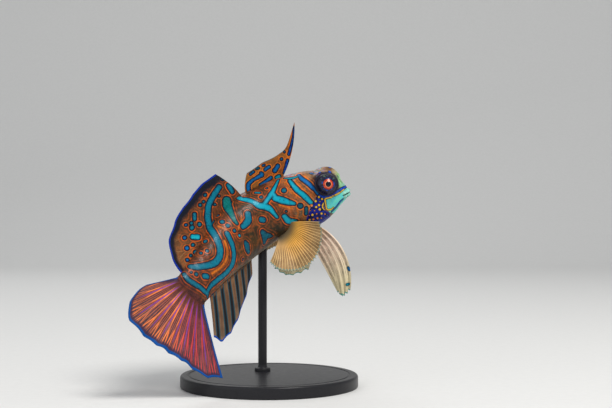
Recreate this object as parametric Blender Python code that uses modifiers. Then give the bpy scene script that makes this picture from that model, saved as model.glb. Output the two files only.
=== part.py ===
"""A life-size still model of a mandarinfish, held on a plain display stand.

Lengths are metres, +Z is up, and the origin is the centre of the base's underside.
The fish hangs over it with its head to +X and its right flank to -Y. A station on the
fish is a share of its standard length, 0 at the mouth and 1 at the root of the tail
fin, and the sizes of its sections are shares of that length as well.
"""

import math

import bmesh
import bpy
import numpy as np
from mathutils import Matrix, Vector

MM = 0.001
LENGTH = 55.5 * MM
GAP = 0.3 * MM
RIGHT = 1.0
LEFT = -1.0

# Pose of the backbone: the mouth's place, and angles in degrees that turn along it
MOUTH = np.array([20.0, 5.0, 48.2]) * MM
DROOP_HEAD, DROOP_TAIL = 8.0, 54.0
SWING_HEAD, SWING_TRUNK, SWING_TAIL, SWING_FIN = -3.0, 48.5, 45.0, 26.0
TILT_HEAD, TILT_TAIL = 7.0, 44.0
LEAN_HEAD, LEAN_TAIL = 12.0, 18.0

# Section of the body: station, height above the backbone, depth below it, half width
BODY = (
    (0.000, 0.013, 0.015, 0.022),
    (0.015, 0.034, 0.026, 0.034),
    (0.045, 0.072, 0.050, 0.050),
    (0.075, 0.098, 0.080, 0.063),
    (0.110, 0.112, 0.106, 0.076),
    (0.160, 0.119, 0.129, 0.090),
    (0.220, 0.122, 0.137, 0.099),
    (0.300, 0.122, 0.134, 0.104),
    (0.400, 0.125, 0.138, 0.103),
    (0.500, 0.129, 0.143, 0.097),
    (0.600, 0.128, 0.136, 0.086),
    (0.720, 0.110, 0.116, 0.065),
    (0.850, 0.088, 0.096, 0.045),
    (1.000, 0.079, 0.083, 0.026),
)
FULLNESS = 0.93
LENGTHS_OF_BODY = {
    "head": (0.004, 0.305, 28, 40),
    "torso_front": (0.305, 0.56, 13, 36),
    "torso_rear": (0.56, 0.82, 12, 32),
    "tail_peduncle": (0.82, 1.0, 9, 28),
}

# Eye: its place on the head as shares of the length, then the ball, brow and lid
EYE_STATION, EYE_SIDE, EYE_HEIGHT = 0.098, 0.063, 0.058
EYE_UP, EYE_AHEAD = 20.0, 0.14
EYE_RADIUS, BROW_RADIUS, BROW_BLEND = 2.85 * MM, 3.55 * MM, 1.0 * MM
LID_OPENING, LID_TUBE, LID_SIDES, SOCKET_GRID = 60.0, 0.33 * MM, 24, (24, 14)

# Mouth, then nostril and gill pore: station, degrees from the back, radius and tube radius
MOUTH_HALF_WIDTH, MOUTH_DEPTH, MOUTH_SLIT, MOUTH_DROP = 2.6 * MM, 2.3 * MM, 0.26 * MM, 0.2
LIP_UPPER, LIP_LOWER = 0.42 * MM, 0.48 * MM
NOSTRIL = (0.036, 46.0, 0.26 * MM, 0.12 * MM)
GILL_PORE = (0.25, 50.0, 0.48 * MM, 0.19 * MM)
RIM_SIDES = 10

# Fins: half thicknesses of membrane, ray and tip, how far the membrane follows a ray, and
# the share of a ray's spacing that its foot takes. A paired fin's rays start under the
# skin, and a length of the body that reaches past its base cuts them off.
MEMBRANE, RIDGE, TIP = 0.27 * MM, 0.46 * MM, 0.2 * MM
WEB = 0.975
FOOT = 0.2
ROOT_DEPTH, ROOT_REACH = 0.7 * MM, 0.1

# Fins of the midline. lean tips a ray back from upright, in degrees, bend curves it
# further back, tilt lays the fin over to the right, and lengths are millimetres.
FIRST_DORSAL = {
    "rays": 4, "rows": 9, "base": (0.318, 0.438), "side": 1.0, "tilt": 12.0,
    "lean": (-50.0, -50.0, -50.0, -54.0), "bend": (18.0, 8.0, 6.0, 4.0),
    "lengths": (15.8, 8.4, 7.8, 7.8), "web": (0.64, 0.96, 0.96, 0.96),
}
SECOND_DORSAL = {
    "rays": 8, "rows": 8, "base": (0.465, 0.852), "side": 1.0, "tilt": 0.0,
    "lean": (20.0, 28.0, 36.0, 43.0, 49.0, 56.0, 67.0, 86.0), "bend": (6.0, 5.0),
    "lengths": (8.6, 9.9, 10.4, 10.4, 10.7, 11.2, 10.4, 7.4), "web": (WEB,) * 8,
}
ANAL = {
    "rays": 7, "rows": 8, "base": (0.585, 0.925), "side": -1.0, "tilt": 0.0,
    "lean": (38.0, 41.0, 43.0, 45.0), "bend": (4.0, 6.0),
    "lengths": (3.9, 6.8, 9.0, 11.0, 12.5, 12.2, 9.0), "web": (WEB,) * 7,
}
TAIL = {
    "rays": 10, "rows": 10, "curl": -8.0, "root_swell": 0.7 * MM, "root_share": 0.93,
    "fan": (31.0, 27.0, 18.0, 5.0, -5.0, -14.5, -24.0, -33.0, -43.0, -54.0),
    "lengths": (10.4, 14.6, 17.2, 16.8, 16.3, 16.0, 16.2, 17.0, 18.3, 18.2), "web": (WEB,) * 10,
}

# Paired fins. base holds the station and the angle round the body of the first and the
# last ray, turn points a ray from straight ahead down and back, lift opens it off the
# flank, and bend curves it further down.
PAIRED_FINS = {
    "pectoral_fin_right": {
        "hand": RIGHT, "rays": 13, "rows": 7, "base": ((0.328, 116.0), (0.386, 148.0)),
        "turn": (2.0, 70.0, 142.0), "lift": (30.0, 36.0), "bend": (8.0, 12.0),
        "lengths": (9.2, 10.8, 11.8, 11.0, 9.4),
    },
    "pectoral_fin_left": {
        "hand": LEFT, "rays": 13, "rows": 7, "base": ((0.328, 116.0), (0.386, 148.0)),
        "turn": (66.0, 118.0, 168.0), "lift": (36.0, 40.0), "bend": (8.0, 12.0),
        "lengths": (9.2, 10.8, 11.8, 11.0, 9.4),
    },
    "pelvic_fin_right": {
        "hand": RIGHT, "rays": 6, "rows": 10, "base": ((0.195, 150.0), (0.250, 163.0)),
        "turn": (26.0, 51.0, 74.0), "lift": (20.0, 12.0), "bend": (85.0, 46.0, 2.0),
        "lengths": (21.4, 20.6, 19.0),
    },
    "pelvic_fin_left": {
        "hand": LEFT, "rays": 6, "rows": 9, "base": ((0.195, 150.0), (0.250, 163.0)),
        "turn": (92.0, 116.0, 140.0), "lift": (20.0, 14.0), "bend": (24.0, -12.0),
        "lengths": (16.0, 17.2, 15.0),
    },
}

# Stand
BASE_RADIUS, BASE_THICKNESS, BASE_BEVEL, BASE_SIDES = 22.0 * MM, 3.0 * MM, 0.6 * MM, 64
ROD_RADIUS, ROD_STATION, ROD_SIDES, ROD_SINK = 1.1 * MM, 0.455, 24, 0.6

COLOURS = {
    "skin": (0.20, 0.12, 0.05),
    "fin": (0.42, 0.16, 0.05),
    "eye": (0.02, 0.02, 0.05),
    "stand": (0.03, 0.03, 0.035),
}


def ease(x, start, end):
    """Smooth step from 0 at start to 1 at end."""
    t = np.clip((np.asarray(x, float) - start) / (end - start), 0.0, 1.0)
    return t * t * (3.0 - 2.0 * t)


def unit(v):
    """Vectors of length one, along the last axis."""
    return v / np.linalg.norm(v, axis=-1, keepdims=True)


def through(knots, values, x):
    """A smooth curve through the values at the knots, with no overshoot between them."""
    k = np.asarray(knots, float)
    y = np.asarray(values, float)
    slope = np.diff(y) / np.diff(k)
    same_way = slope[1:] * slope[:-1] > 0.0
    total = np.where(same_way, slope[1:] + slope[:-1], 1.0)
    inner = np.where(same_way, 2.0 * slope[1:] * slope[:-1] / total, 0.0)
    tangent = np.concatenate([slope[:1], inner, slope[-1:]])
    x = np.clip(np.asarray(x, float), k[0], k[-1])
    i = np.clip(np.searchsorted(k, x, side="right") - 1, 0, len(k) - 2)
    width = k[i + 1] - k[i]
    t = (x - k[i]) / width
    return (
        y[i] * (1.0 + 2.0 * t) * (1.0 - t) ** 2
        + width * tangent[i] * t * (1.0 - t) ** 2
        + y[i + 1] * t * t * (3.0 - 2.0 * t)
        + width * tangent[i + 1] * t * t * (t - 1.0)
    )


def spread(values, share):
    """A smooth curve through values that are spread evenly over the shares 0 to 1."""
    return through(np.linspace(0.0, 1.0, len(values)), values, share)


class Backbone:
    """The line that the body is built on, and the directions across it."""

    START, END, STEPS = -0.1, 1.4, 480

    def __init__(self):
        self.grid = np.linspace(self.START, self.END, self.STEPS + 1)
        middle = 0.5 * (self.grid[1:] + self.grid[:-1])
        step = (self.grid[1] - self.grid[0]) * LENGTH
        points = np.vstack([np.zeros(3), np.cumsum(-self.forward(middle) * step, axis=0)])
        start = [np.interp(0.0, self.grid, points[:, k]) for k in range(3)]
        self.points = points - start + MOUTH

    def forward(self, s):
        """Unit direction towards the head at each station."""
        droop = np.radians(DROOP_HEAD + (DROOP_TAIL - DROOP_HEAD) * ease(s, 0.09, 0.76))
        swing = SWING_HEAD + (SWING_TRUNK - SWING_HEAD) * ease(s, 0.22, 0.66)
        swing = swing + (SWING_TAIL - SWING_TRUNK) * ease(s, 0.75, 1.0)
        swing = np.radians(swing + (SWING_FIN - SWING_TAIL) * ease(s, 0.97, 1.15))
        level = np.cos(swing)
        return np.stack([np.cos(droop) * level, np.sin(swing), np.sin(droop) * level], -1)

    def frame(self, s):
        """Centre, forward, right and dorsal directions at each station."""
        s = np.asarray(s, float)
        centre = np.stack([np.interp(s, self.grid, self.points[:, k]) for k in range(3)], -1)
        forward = self.forward(s)
        tilt = np.radians(TILT_HEAD + (TILT_TAIL - TILT_HEAD) * ease(s, 0.12, 0.95))
        lean = np.radians(LEAN_HEAD + (LEAN_TAIL - LEAN_HEAD) * ease(s, 0.2, 0.7))
        dorsal = np.stack([-np.sin(tilt), -np.tan(lean), np.cos(tilt)], -1)
        dorsal = unit(dorsal - np.sum(dorsal * forward, -1, keepdims=True) * forward)
        return centre, forward, np.cross(forward, dorsal), dorsal

    def place(self, s, side, height):
        """The point at a station that lies side to the right and height above, in metres."""
        centre, _, right, dorsal = self.frame(s)
        side = np.asarray(side, float)[..., None]
        height = np.asarray(height, float)[..., None]
        return centre + right * side + dorsal * height


SPINE = Backbone()


def section(s):
    """Top, bottom and half width of the body at each station, in metres."""
    knots = [row[0] for row in BODY]
    return [LENGTH * through(knots, [row[k] for row in BODY], s) for k in (1, 2, 3)]


def eye_centre(hand):
    """Centre of an eyeball."""
    return SPINE.place(EYE_STATION, hand * EYE_SIDE * LENGTH, EYE_HEIGHT * LENGTH)


def eye_axis(hand):
    """The direction that an eye looks in: out, a little up and a little ahead."""
    _, forward, right, dorsal = SPINE.frame(EYE_STATION)
    up = math.radians(EYE_UP)
    return unit(hand * math.cos(up) * right + math.sin(up) * dorsal + EYE_AHEAD * forward)


def body_surface(s, angle, swell=0.0):
    """Points of the skin at a station and an angle from the back's midline, to the right.

    Each section is an oval of its own top, bottom and half width. Where the ball of a
    brow stands farther out than the oval, the skin follows that ball, with a smooth
    change between the two. swell moves the oval out by that many metres.
    """
    s, angle = np.broadcast_arrays(np.asarray(s, float), np.asarray(angle, float))
    top, bottom, half_width = section(s)
    up = np.cos(angle)
    out = np.sin(angle)
    height = np.sign(up) * np.abs(up) ** FULLNESS * (np.where(up > 0.0, top, bottom) + swell)
    side = np.sign(out) * np.abs(out) ** FULLNESS * (half_width + swell)
    centre = SPINE.place(s, np.zeros_like(s), np.zeros_like(s))
    outward = SPINE.place(s, side, height) - centre
    radius = np.linalg.norm(outward, axis=-1)
    direction = outward / radius[..., None]
    for hand in (RIGHT, LEFT):
        to_ball = eye_centre(hand) - centre
        along = np.sum(direction * to_ball, axis=-1)
        inside = along**2 - np.sum(to_ball**2, axis=-1) + BROW_RADIUS**2
        reach = along + np.sign(inside) * np.sqrt(np.abs(inside))
        radius = 0.5 * (radius + reach + np.sqrt((radius - reach) ** 2 + BROW_BLEND**2))
    return centre + direction * radius[..., None]


def skin_place(station, degrees, hand):
    """A point of the skin and its outward direction."""
    angle = hand * math.radians(degrees)
    point = body_surface(station, angle)
    ahead = body_surface(station + 0.004, angle) - point
    beside = body_surface(station, angle + hand * 0.04) - point
    return point, hand * unit(np.cross(beside, ahead))


def material(kind):
    """The plain material of one kind of surface."""
    found = bpy.data.materials.get(kind)
    if found:
        return found
    made = bpy.data.materials.new(kind)
    made.use_nodes = True
    shader = made.node_tree.nodes["Principled BSDF"]
    shader.inputs["Base Color"].default_value = (*COLOURS[kind], 1.0)
    shader.inputs["Roughness"].default_value = 0.35
    shader.inputs["Metallic"].default_value = 0.0
    return made


def collection(name):
    """A collection of the scene, made when it isn't there."""
    found = bpy.data.collections.get(name)
    if not found:
        found = bpy.data.collections.new(name)
        bpy.context.scene.collection.children.link(found)
    return found


def add_object(name, mesh, kind):
    """An object of the model with its material."""
    made = bpy.data.objects.new(name, mesh)
    mesh.materials.clear()
    mesh.materials.append(material(kind))
    mesh.shade_smooth()
    collection("mandarinfish").objects.link(made)
    return made


def add_cutter(name, mesh):
    """A piece that a Boolean step takes up, kept out of the model's collection."""
    piece = bpy.data.objects.new(name, mesh)
    piece.hide_render = True
    piece.display_type = "WIRE"
    collection("cutters").objects.link(piece)
    return piece


def mesh_from(name, points, faces):
    """A mesh from points and faces, with its faces turned outward."""
    mesh = bpy.data.meshes.new(name)
    mesh.from_pydata([tuple(p) for p in points], [], faces)
    work = bmesh.new()
    work.from_mesh(mesh)
    bmesh.ops.recalc_face_normals(work, faces=work.faces)
    work.to_mesh(mesh)
    work.free()
    return mesh


def primitive(name, make, place, **sizes):
    """A mesh that a bmesh operator makes, moved by a matrix."""
    mesh = bpy.data.meshes.new(name)
    work = bmesh.new()
    make(work, **sizes)
    bmesh.ops.transform(work, matrix=place, verts=work.verts)
    work.to_mesh(mesh)
    work.free()
    return mesh


def facing(point, axis):
    """The matrix that puts a shape's origin on a point and its Z along an axis."""
    turn = Vector(axis).to_track_quat("Z", "Y").to_matrix().to_4x4()
    return Matrix.Translation(Vector(point)) @ turn


def ball(name, centre, radius, segments, rings):
    """A sphere mesh."""
    place = Matrix.Translation(Vector(centre))
    sizes = {"u_segments": segments, "v_segments": rings, "radius": radius}
    return primitive(name, bmesh.ops.create_uvsphere, place, **sizes)


def tube(name, path, radii, cyclic=False):
    """A closed tube along a path, from a curve with its own radius at each point."""
    curve = bpy.data.curves.new(name, "CURVE")
    curve.dimensions = "3D"
    curve.bevel_depth = MM
    curve.bevel_resolution = 2
    curve.use_fill_caps = not cyclic
    line = curve.splines.new("POLY")
    line.points.add(len(path) - 1)
    for point, place, radius in zip(line.points, path, radii):
        point.co = (*place, 1.0)
        point.radius = radius / MM
    line.use_cyclic_u = cyclic
    guide = bpy.data.objects.new(name, curve)
    bpy.context.scene.collection.objects.link(guide)
    graph = bpy.context.evaluated_depsgraph_get()
    mesh = bpy.data.meshes.new_from_object(guide.evaluated_get(graph))
    bpy.data.objects.remove(guide)
    work = bmesh.new()
    work.from_mesh(mesh)
    bmesh.ops.remove_doubles(work, verts=work.verts, dist=1e-6)
    bmesh.ops.recalc_face_normals(work, faces=work.faces)
    work.to_mesh(mesh)
    work.free()
    return add_cutter(name, mesh)


def hoop(name, point, axis, radius, thickness, around):
    """A ring of round section, facing along an axis."""
    place = facing(point, axis)
    turn = np.linspace(0.0, 2.0 * math.pi, around, endpoint=False)
    path = [place @ Vector((radius * math.cos(t), radius * math.sin(t), 0.0)) for t in turn]
    return tube(name, path, [thickness] * around, cyclic=True)


def lofted(name, rings):
    """A closed mesh through rings of equal count, with a fan of faces on each end."""
    count, around = rings.shape[:2]
    ends = np.stack([rings[0].mean(axis=0), rings[-1].mean(axis=0)])
    points = np.vstack([rings.reshape(-1, 3), ends])
    faces = []
    last = (count - 1) * around
    for j in range(around):
        following = (j + 1) % around
        for row in range(0, last, around):
            faces.append((row + j, row + following, row + around + following, row + around + j))
        faces.append((following, j, count * around))
        faces.append((last + j, last + following, count * around + 1))
    return mesh_from(name, points, faces)


def keep_largest(mesh):
    """Weld the shortest edges and keep the largest closed surface."""
    work = bmesh.new()
    work.from_mesh(mesh)
    bmesh.ops.remove_doubles(work, verts=work.verts, dist=2e-6)
    bmesh.ops.dissolve_degenerate(work, edges=work.edges, dist=1e-6)
    bmesh.ops.triangulate(work, faces=work.faces)
    left = set(work.verts)
    groups = []
    while left:
        queue = [left.pop()]
        group = []
        while queue:
            vert = queue.pop()
            group.append(vert)
            near = {edge.other_vert(vert) for edge in vert.link_edges} & left
            left -= near
            queue.extend(near)
        groups.append(group)
    groups.sort(key=len)
    loose = [vert for group in groups[:-1] for vert in group]
    bmesh.ops.delete(work, geom=loose, context="VERTS")
    work.to_mesh(mesh)
    work.free()


def combine(target, pieces, operation, solver="EXACT"):
    """Fuse pieces with the target, or cut them from it, in one Boolean step."""
    group = bpy.data.collections.new("pieces")
    for piece in pieces:
        group.objects.link(piece)
    step = target.modifiers.new("combine", "BOOLEAN")
    step.operation = operation
    step.operand_type = "COLLECTION"
    step.collection = group
    step.solver = solver
    graph = bpy.context.evaluated_depsgraph_get()
    result = bpy.data.meshes.new_from_object(target.evaluated_get(graph))
    target.modifiers.clear()
    kind = target.data.materials[0]
    for piece in pieces:
        bpy.data.objects.remove(piece)
    bpy.data.collections.remove(group)
    keep_largest(result)
    result.materials.clear()
    result.materials.append(kind)
    result.shade_smooth()
    target.data = result


def body_length(name, start, end, rings, around, swell=0.0):
    """One length of the body between two stations, less half a gap at each cut end.

    The rings of the length that starts at the snout stand closer towards the mouth.
    """
    inset = 0.5 * GAP / LENGTH
    at_snout = start < 0.01
    first = start if at_snout else start + inset
    share = np.linspace(0.0, 1.0, rings) ** (1.3 if at_snout else 1.0)
    s = first + (end - inset - first) * share
    angle = np.linspace(0.0, 2.0 * math.pi, around, endpoint=False)
    return lofted(name, body_surface(s[:, None], angle[None, :], swell))


def lips():
    """The upper and the lower lip, each a bent tube round the snout's tip."""
    turn = np.radians(np.linspace(-84.0, 84.0, 13))
    side = MOUTH_HALF_WIDTH * np.sin(turn)
    back = MOUTH_DEPTH * (1.0 - np.cos(turn))
    made = []
    for name, radius, lift in (("lip_upper", LIP_UPPER, 1.0), ("lip_lower", LIP_LOWER, -1.0)):
        height = lift * (radius + 0.35 * MOUTH_SLIT) - MOUTH_DROP * back
        path = SPINE.place(back / LENGTH, side, height)
        made.append(tube(name, path, radius * (1.0 - 0.4 * np.abs(np.sin(turn)) ** 3)))
    return made


def mouth_slit():
    """The cutter that opens the line of the mouth."""
    rings = []
    for back in (-1.2 * MM, MOUTH_DEPTH):
        half = 1.12 * MOUTH_HALF_WIDTH
        drop = MOUTH_DROP * max(back, 0.0)
        corners = [(-1.0, -0.5), (1.0, -0.5), (1.0, 0.5), (-1.0, 0.5)]
        rings.append([SPINE.place(back / LENGTH, x * half, y * MOUTH_SLIT - drop) for x, y in corners])
    return add_cutter("mouth_slit", lofted("mouth_slit", np.array(rings)))


def eye_cutters(hand):
    """The cutters of an eye's socket and of the round opening between the lids."""
    centre = eye_centre(hand)
    socket = ball("socket", centre, EYE_RADIUS + GAP, *SOCKET_GRID)
    depth = 2.0 * BROW_RADIUS
    axis = eye_axis(hand)
    wide = depth * math.tan(math.radians(LID_OPENING))
    sizes = {"segments": LID_SIDES, "radius1": 0.0, "radius2": wide, "depth": depth}
    place = facing(centre + axis * 0.5 * depth, axis)
    opening = primitive("opening", bmesh.ops.create_cone, place, cap_ends=True, **sizes)
    return [add_cutter("socket", socket), add_cutter("opening", opening)]


def lid(hand):
    """The rounded edge of the lids round an eye."""
    middle = 0.5 * (EYE_RADIUS + GAP + BROW_RADIUS)
    opening = math.radians(LID_OPENING)
    axis = eye_axis(hand)
    centre = eye_centre(hand) + axis * middle * math.cos(opening)
    return hoop("lid", centre, axis, middle * math.sin(opening), LID_TUBE, LID_SIDES)


def make_head():
    """The head with its brows, lids, lips, nostrils and gill pores."""
    head = add_object("head", body_length("head", *LENGTHS_OF_BODY["head"]), "skin")
    sockets = [cutter for hand in (RIGHT, LEFT) for cutter in eye_cutters(hand)]
    combine(head, sockets, "DIFFERENCE")
    pieces = lips()
    pits = [mouth_slit()]
    for hand in (RIGHT, LEFT):
        pieces.append(lid(hand))
        for station, degrees, radius, thickness in (NOSTRIL, GILL_PORE):
            point, outward = skin_place(station, degrees, hand)
            pieces.append(hoop("rim", point, outward, radius, thickness, RIM_SIDES))
            pit = ball("pit", point, radius - 0.3 * thickness, RIM_SIDES, RIM_SIDES // 2)
            pits.append(add_cutter("pit", pit))
        socket = ball("socket", eye_centre(hand), EYE_RADIUS + GAP, *SOCKET_GRID)
        pits.append(add_cutter("socket", socket))
    combine(head, pieces, "UNION")
    combine(head, pits, "DIFFERENCE")
    for hand, name in ((RIGHT, "eye_right"), (LEFT, "eye_left")):
        add_object(name, ball(name, eye_centre(hand), EYE_RADIUS, 24, 14), "eye")


def sheet_faces(columns, rows):
    """Triangles of a closed sheet: the same split on both faces, and a wall round them."""
    under = columns * rows
    faces = []
    for i in range(columns - 1):
        for j in range(rows - 1):
            a = i * rows + j
            b = a + rows
            for p, q, r in ((a, b, b + 1), (a, b + 1, a + 1)):
                faces.append((p, q, r))
                faces.append((under + r, under + q, under + p))
    rim = [i * rows for i in range(columns)]
    rim += [(columns - 1) * rows + j for j in range(1, rows)]
    rim += [i * rows + rows - 1 for i in range(columns - 2, -1, -1)]
    rim += list(range(rows - 2, 0, -1))
    for a, b in zip(rim, rim[1:] + rim[:1]):
        faces += [(a, under + a, under + b), (a, under + b, b)]
    return faces


def fin_sheet(name, fin, ray_at):
    """A fin whose rays are ridges on its own two faces.

    ray_at gives the rays at shares across the fin: root, first direction, direction they
    bend to, length and bend in radians. Each ray is an arc of a circle. Its crest and
    the foot at each side of it are columns of the sheet, and the membrane's edge at a
    foot stays a little short of the ray's tip.
    """
    rays = fin["rays"]
    shares = np.arange(rays) / (rays - 1)
    foot = FOOT / (rays - 1)
    columns = np.sort(np.concatenate([shares, shares[1:] - foot, shares[:-1] + foot]))
    nearest = np.rint(columns * (rays - 1)).astype(int)
    crest = np.abs(columns - shares[nearest]) < 1e-9
    web = np.asarray(fin.get("web", (WEB,) * rays))[nearest]
    root, first, bend_to, length, bend = ray_at(columns)
    length = length * np.where(crest, 1.0, web)
    bend = np.where(np.abs(bend) < 1e-3, 1e-3, bend)
    v = np.linspace(0.0, 1.0, fin["rows"]) ** 0.9
    arc = bend[:, None] * v[None, :]
    ahead = (np.sin(arc) / bend[:, None] * length[:, None])[..., None]
    aside = ((1.0 - np.cos(arc)) / bend[:, None] * length[:, None])[..., None]
    sheet = root[:, None] + first[:, None] * ahead + bend_to[:, None] * aside
    normal = unit(np.cross(np.gradient(sheet, axis=0), np.gradient(sheet, axis=1)))
    half = MEMBRANE + (RIDGE - MEMBRANE) * crest[:, None] * (1.0 - v[None, :])
    half = half + (TIP - MEMBRANE) * ease(v, 0.75, 1.0)[None, :]
    half = half + fin.get("root_swell", 0.0) * (1.0 - ease(v, 0.0, 0.22))[None, :]
    offset = normal * half[..., None]
    points = np.concatenate([(sheet + offset).reshape(-1, 3), (sheet - offset).reshape(-1, 3)])
    return mesh_from(name, points, sheet_faces(len(columns), fin["rows"]))


def midline_rays(fin):
    """Rays of a fin on the midline of the back (side 1) or of the belly (side -1)."""

    def ray_at(share):
        start, end = fin["base"]
        s = start + (end - start) * share
        top, bottom, _ = section(s)
        skin = top if fin["side"] > 0.0 else bottom
        root = SPINE.place(s, np.zeros_like(s), fin["side"] * (skin + GAP))
        _, forward, right, dorsal = SPINE.frame(s)
        up = unit(fin["side"] * dorsal + math.tan(math.radians(fin["tilt"])) * right)
        lean = np.radians(spread(fin["lean"], share))[:, None]
        first = unit(np.cos(lean) * up - np.sin(lean) * forward)
        bend_to = unit(-np.sin(lean) * up - np.cos(lean) * forward)
        bend = np.radians(spread(fin["bend"], share))
        return root, first, bend_to, spread(fin["lengths"], share) * MM, bend

    return ray_at


def paired_rays(fin):
    """Rays of a fin on one side of the body, which start a little under its skin."""
    hand = fin["hand"]

    def ray_at(share):
        (s0, a0), (s1, a1) = fin["base"]
        s = s0 + (s1 - s0) * share
        skin = body_surface(s, hand * np.radians(a0 + (a1 - a0) * share))
        centre, forward, right, dorsal = SPINE.frame(s)
        root = skin - unit(skin - centre) * ROOT_DEPTH
        turn = np.radians(spread(fin["turn"], share))[:, None]
        lift = np.radians(spread(fin["lift"], share))[:, None]
        flat = np.cos(turn) * forward - np.sin(turn) * dorsal
        first = unit(np.cos(lift) * flat + np.sin(lift) * hand * right)
        bend_to = -np.sin(turn) * forward - np.cos(turn) * dorsal
        bend_to = unit(bend_to - np.sum(bend_to * first, -1, keepdims=True) * first)
        bend = np.radians(spread(fin["bend"], share))
        return root, first, bend_to, spread(fin["lengths"], share) * MM, bend

    return ray_at


def tail_rays(fin):
    """Rays of the tail fin, fanned out from the end of the body in its midline's plane."""

    def ray_at(share):
        s = np.full_like(share, 1.0 + 0.5 * GAP / LENGTH)
        top, bottom, _ = section(s)
        root = SPINE.place(s, np.zeros_like(s), fin["root_share"] * (top - (top + bottom) * share))
        _, forward, right, dorsal = SPINE.frame(s + 0.12)
        turn = np.radians(spread(fin["fan"], share))[:, None]
        first = unit(-np.cos(turn) * forward + np.sin(turn) * dorsal)
        bend = np.full_like(share, math.radians(fin["curl"]))
        return root, first, -right, spread(fin["lengths"], share) * MM, bend

    return ray_at


def make_fins():
    """All fins, each with its rays raised in its own surface."""
    midline = {"first_dorsal_fin": FIRST_DORSAL, "second_dorsal_fin": SECOND_DORSAL, "anal_fin": ANAL}
    for name, fin in midline.items():
        add_object(name, fin_sheet(name, fin, midline_rays(fin)), "fin")
    for name, fin in PAIRED_FINS.items():
        (front, _), (rear, _) = fin["base"]
        body = body_length("body", front - ROOT_REACH, rear + ROOT_REACH, 15, 44, GAP)
        made = add_object(name, fin_sheet(name, fin, paired_rays(fin)), "fin")
        combine(made, [add_cutter("body", body)], "DIFFERENCE", "MANIFOLD")
    add_object("caudal_fin", fin_sheet("caudal_fin", TAIL, tail_rays(TAIL)), "fin")


def make_stand():
    """A round base with one rod that meets the belly."""
    sizes = {"segments": BASE_SIDES, "radius1": BASE_RADIUS, "radius2": BASE_RADIUS}
    place = Matrix.Translation((0.0, 0.0, 0.5 * BASE_THICKNESS))
    disc = primitive(
        "stand_base", bmesh.ops.create_cone, place, depth=BASE_THICKNESS, cap_ends=True, **sizes
    )
    edge = add_object("stand_base", disc, "stand").modifiers.new("edge", "BEVEL")
    edge.width = BASE_BEVEL
    edge.segments = 2
    edge.limit_method = "ANGLE"
    _, bottom, _ = section(ROD_STATION)
    top = SPINE.place(ROD_STATION, 0.0, -ROD_SINK * bottom)
    low = BASE_THICKNESS + GAP
    place = Matrix.Translation((top[0], top[1], 0.5 * (low + top[2])))
    sizes = {"segments": ROD_SIDES, "radius1": ROD_RADIUS, "radius2": ROD_RADIUS}
    pole = primitive(
        "stand_rod", bmesh.ops.create_cone, place, depth=top[2] - low, cap_ends=True, **sizes
    )
    rod = add_object("stand_rod", pole, "stand")
    belly = body_length("belly", ROD_STATION - 0.09, ROD_STATION + 0.09, 9, 36, GAP)
    combine(rod, [add_cutter("belly", belly)], "DIFFERENCE")


def main():
    """Build the whole model."""
    for old in list(bpy.data.objects):
        bpy.data.objects.remove(old)
    make_head()
    for name in ("torso_front", "torso_rear", "tail_peduncle"):
        add_object(name, body_length(name, *LENGTHS_OF_BODY[name]), "skin")
    make_fins()
    make_stand()


if __name__ == "__main__":
    main()
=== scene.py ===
"""Scene of a still, life-size mandarinfish held on a display stand.

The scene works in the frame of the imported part: metres, +Z up, the head to +X and the
right flank to -Y. One skin stands for the four lengths of the body, finer fins with their
branching rays stand for the plain ones, and the markings are lines and dots that are laid
on the right flank through the camera and mirrored to the left one.

A station is a share of the standard length, 0 at the mouth and 1 at the root of the tail
fin. An angle on the body starts at the midline of the back and grows to the right. The
markings are given in pixels of the 612 by 408 picture, as the camera sees the flank.
"""

import logging
import math
from dataclasses import dataclass, field, replace
from enum import Enum
from functools import cache, partial
from typing import Callable, Optional, Sequence, Union

import bpy
import numpy as np
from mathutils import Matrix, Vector


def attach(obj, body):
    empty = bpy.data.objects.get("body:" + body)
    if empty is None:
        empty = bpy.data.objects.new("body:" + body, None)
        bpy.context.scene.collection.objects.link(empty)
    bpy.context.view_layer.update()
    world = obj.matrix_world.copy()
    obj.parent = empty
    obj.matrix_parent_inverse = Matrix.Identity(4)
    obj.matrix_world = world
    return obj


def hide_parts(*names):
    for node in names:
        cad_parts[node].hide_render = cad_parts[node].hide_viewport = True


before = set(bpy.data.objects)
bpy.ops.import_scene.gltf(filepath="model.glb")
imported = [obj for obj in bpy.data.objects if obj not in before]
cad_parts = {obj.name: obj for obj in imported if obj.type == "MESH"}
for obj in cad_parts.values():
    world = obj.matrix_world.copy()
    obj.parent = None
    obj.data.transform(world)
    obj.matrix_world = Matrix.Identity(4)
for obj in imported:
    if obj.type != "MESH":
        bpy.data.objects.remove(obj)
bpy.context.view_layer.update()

LOG = logging.getLogger("mandarinfish")
Array = np.ndarray
Colour = tuple[float, float, float]
Row = tuple[float, ...]
Pair = tuple[float, float]
Triple = tuple[float, float, float]
Piece = bpy.types.Object
Socket = bpy.types.NodeSocket
Tree = bpy.types.NodeTree
Value = Union[Socket, float, Colour, Enum]
Paint = tuple[Socket, Socket]

MM = 0.001
OUT_OF_REACH = 9.0


class Hand(float, Enum):
    """The two flanks, as the sign of a step to the fish's right."""

    RIGHT = 1.0
    LEFT = -1.0


class Edge(float, Enum):
    """The two midlines, as the sign of a step up from the backbone."""

    BACK = 1.0
    BELLY = -1.0


def ease(x: Array, start: float, end: float) -> Array:
    """Smooth step 3t^2 - 2t^3, with t the share of the way from start to end."""
    t = np.clip((np.asarray(x, float) - start) / (end - start), 0.0, 1.0)
    return t * t * (3.0 - 2.0 * t)


def hump(x: Array, centre: float, width: float) -> Array:
    """Bell curve exp(-((x - centre) / width)^2)."""
    return np.exp(-(((x - centre) / width) ** 2))


def unit(v: Array) -> Array:
    """Vectors of length one, along the last axis."""
    return v / np.maximum(np.linalg.norm(v, axis=-1, keepdims=True), 1e-12)


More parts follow.
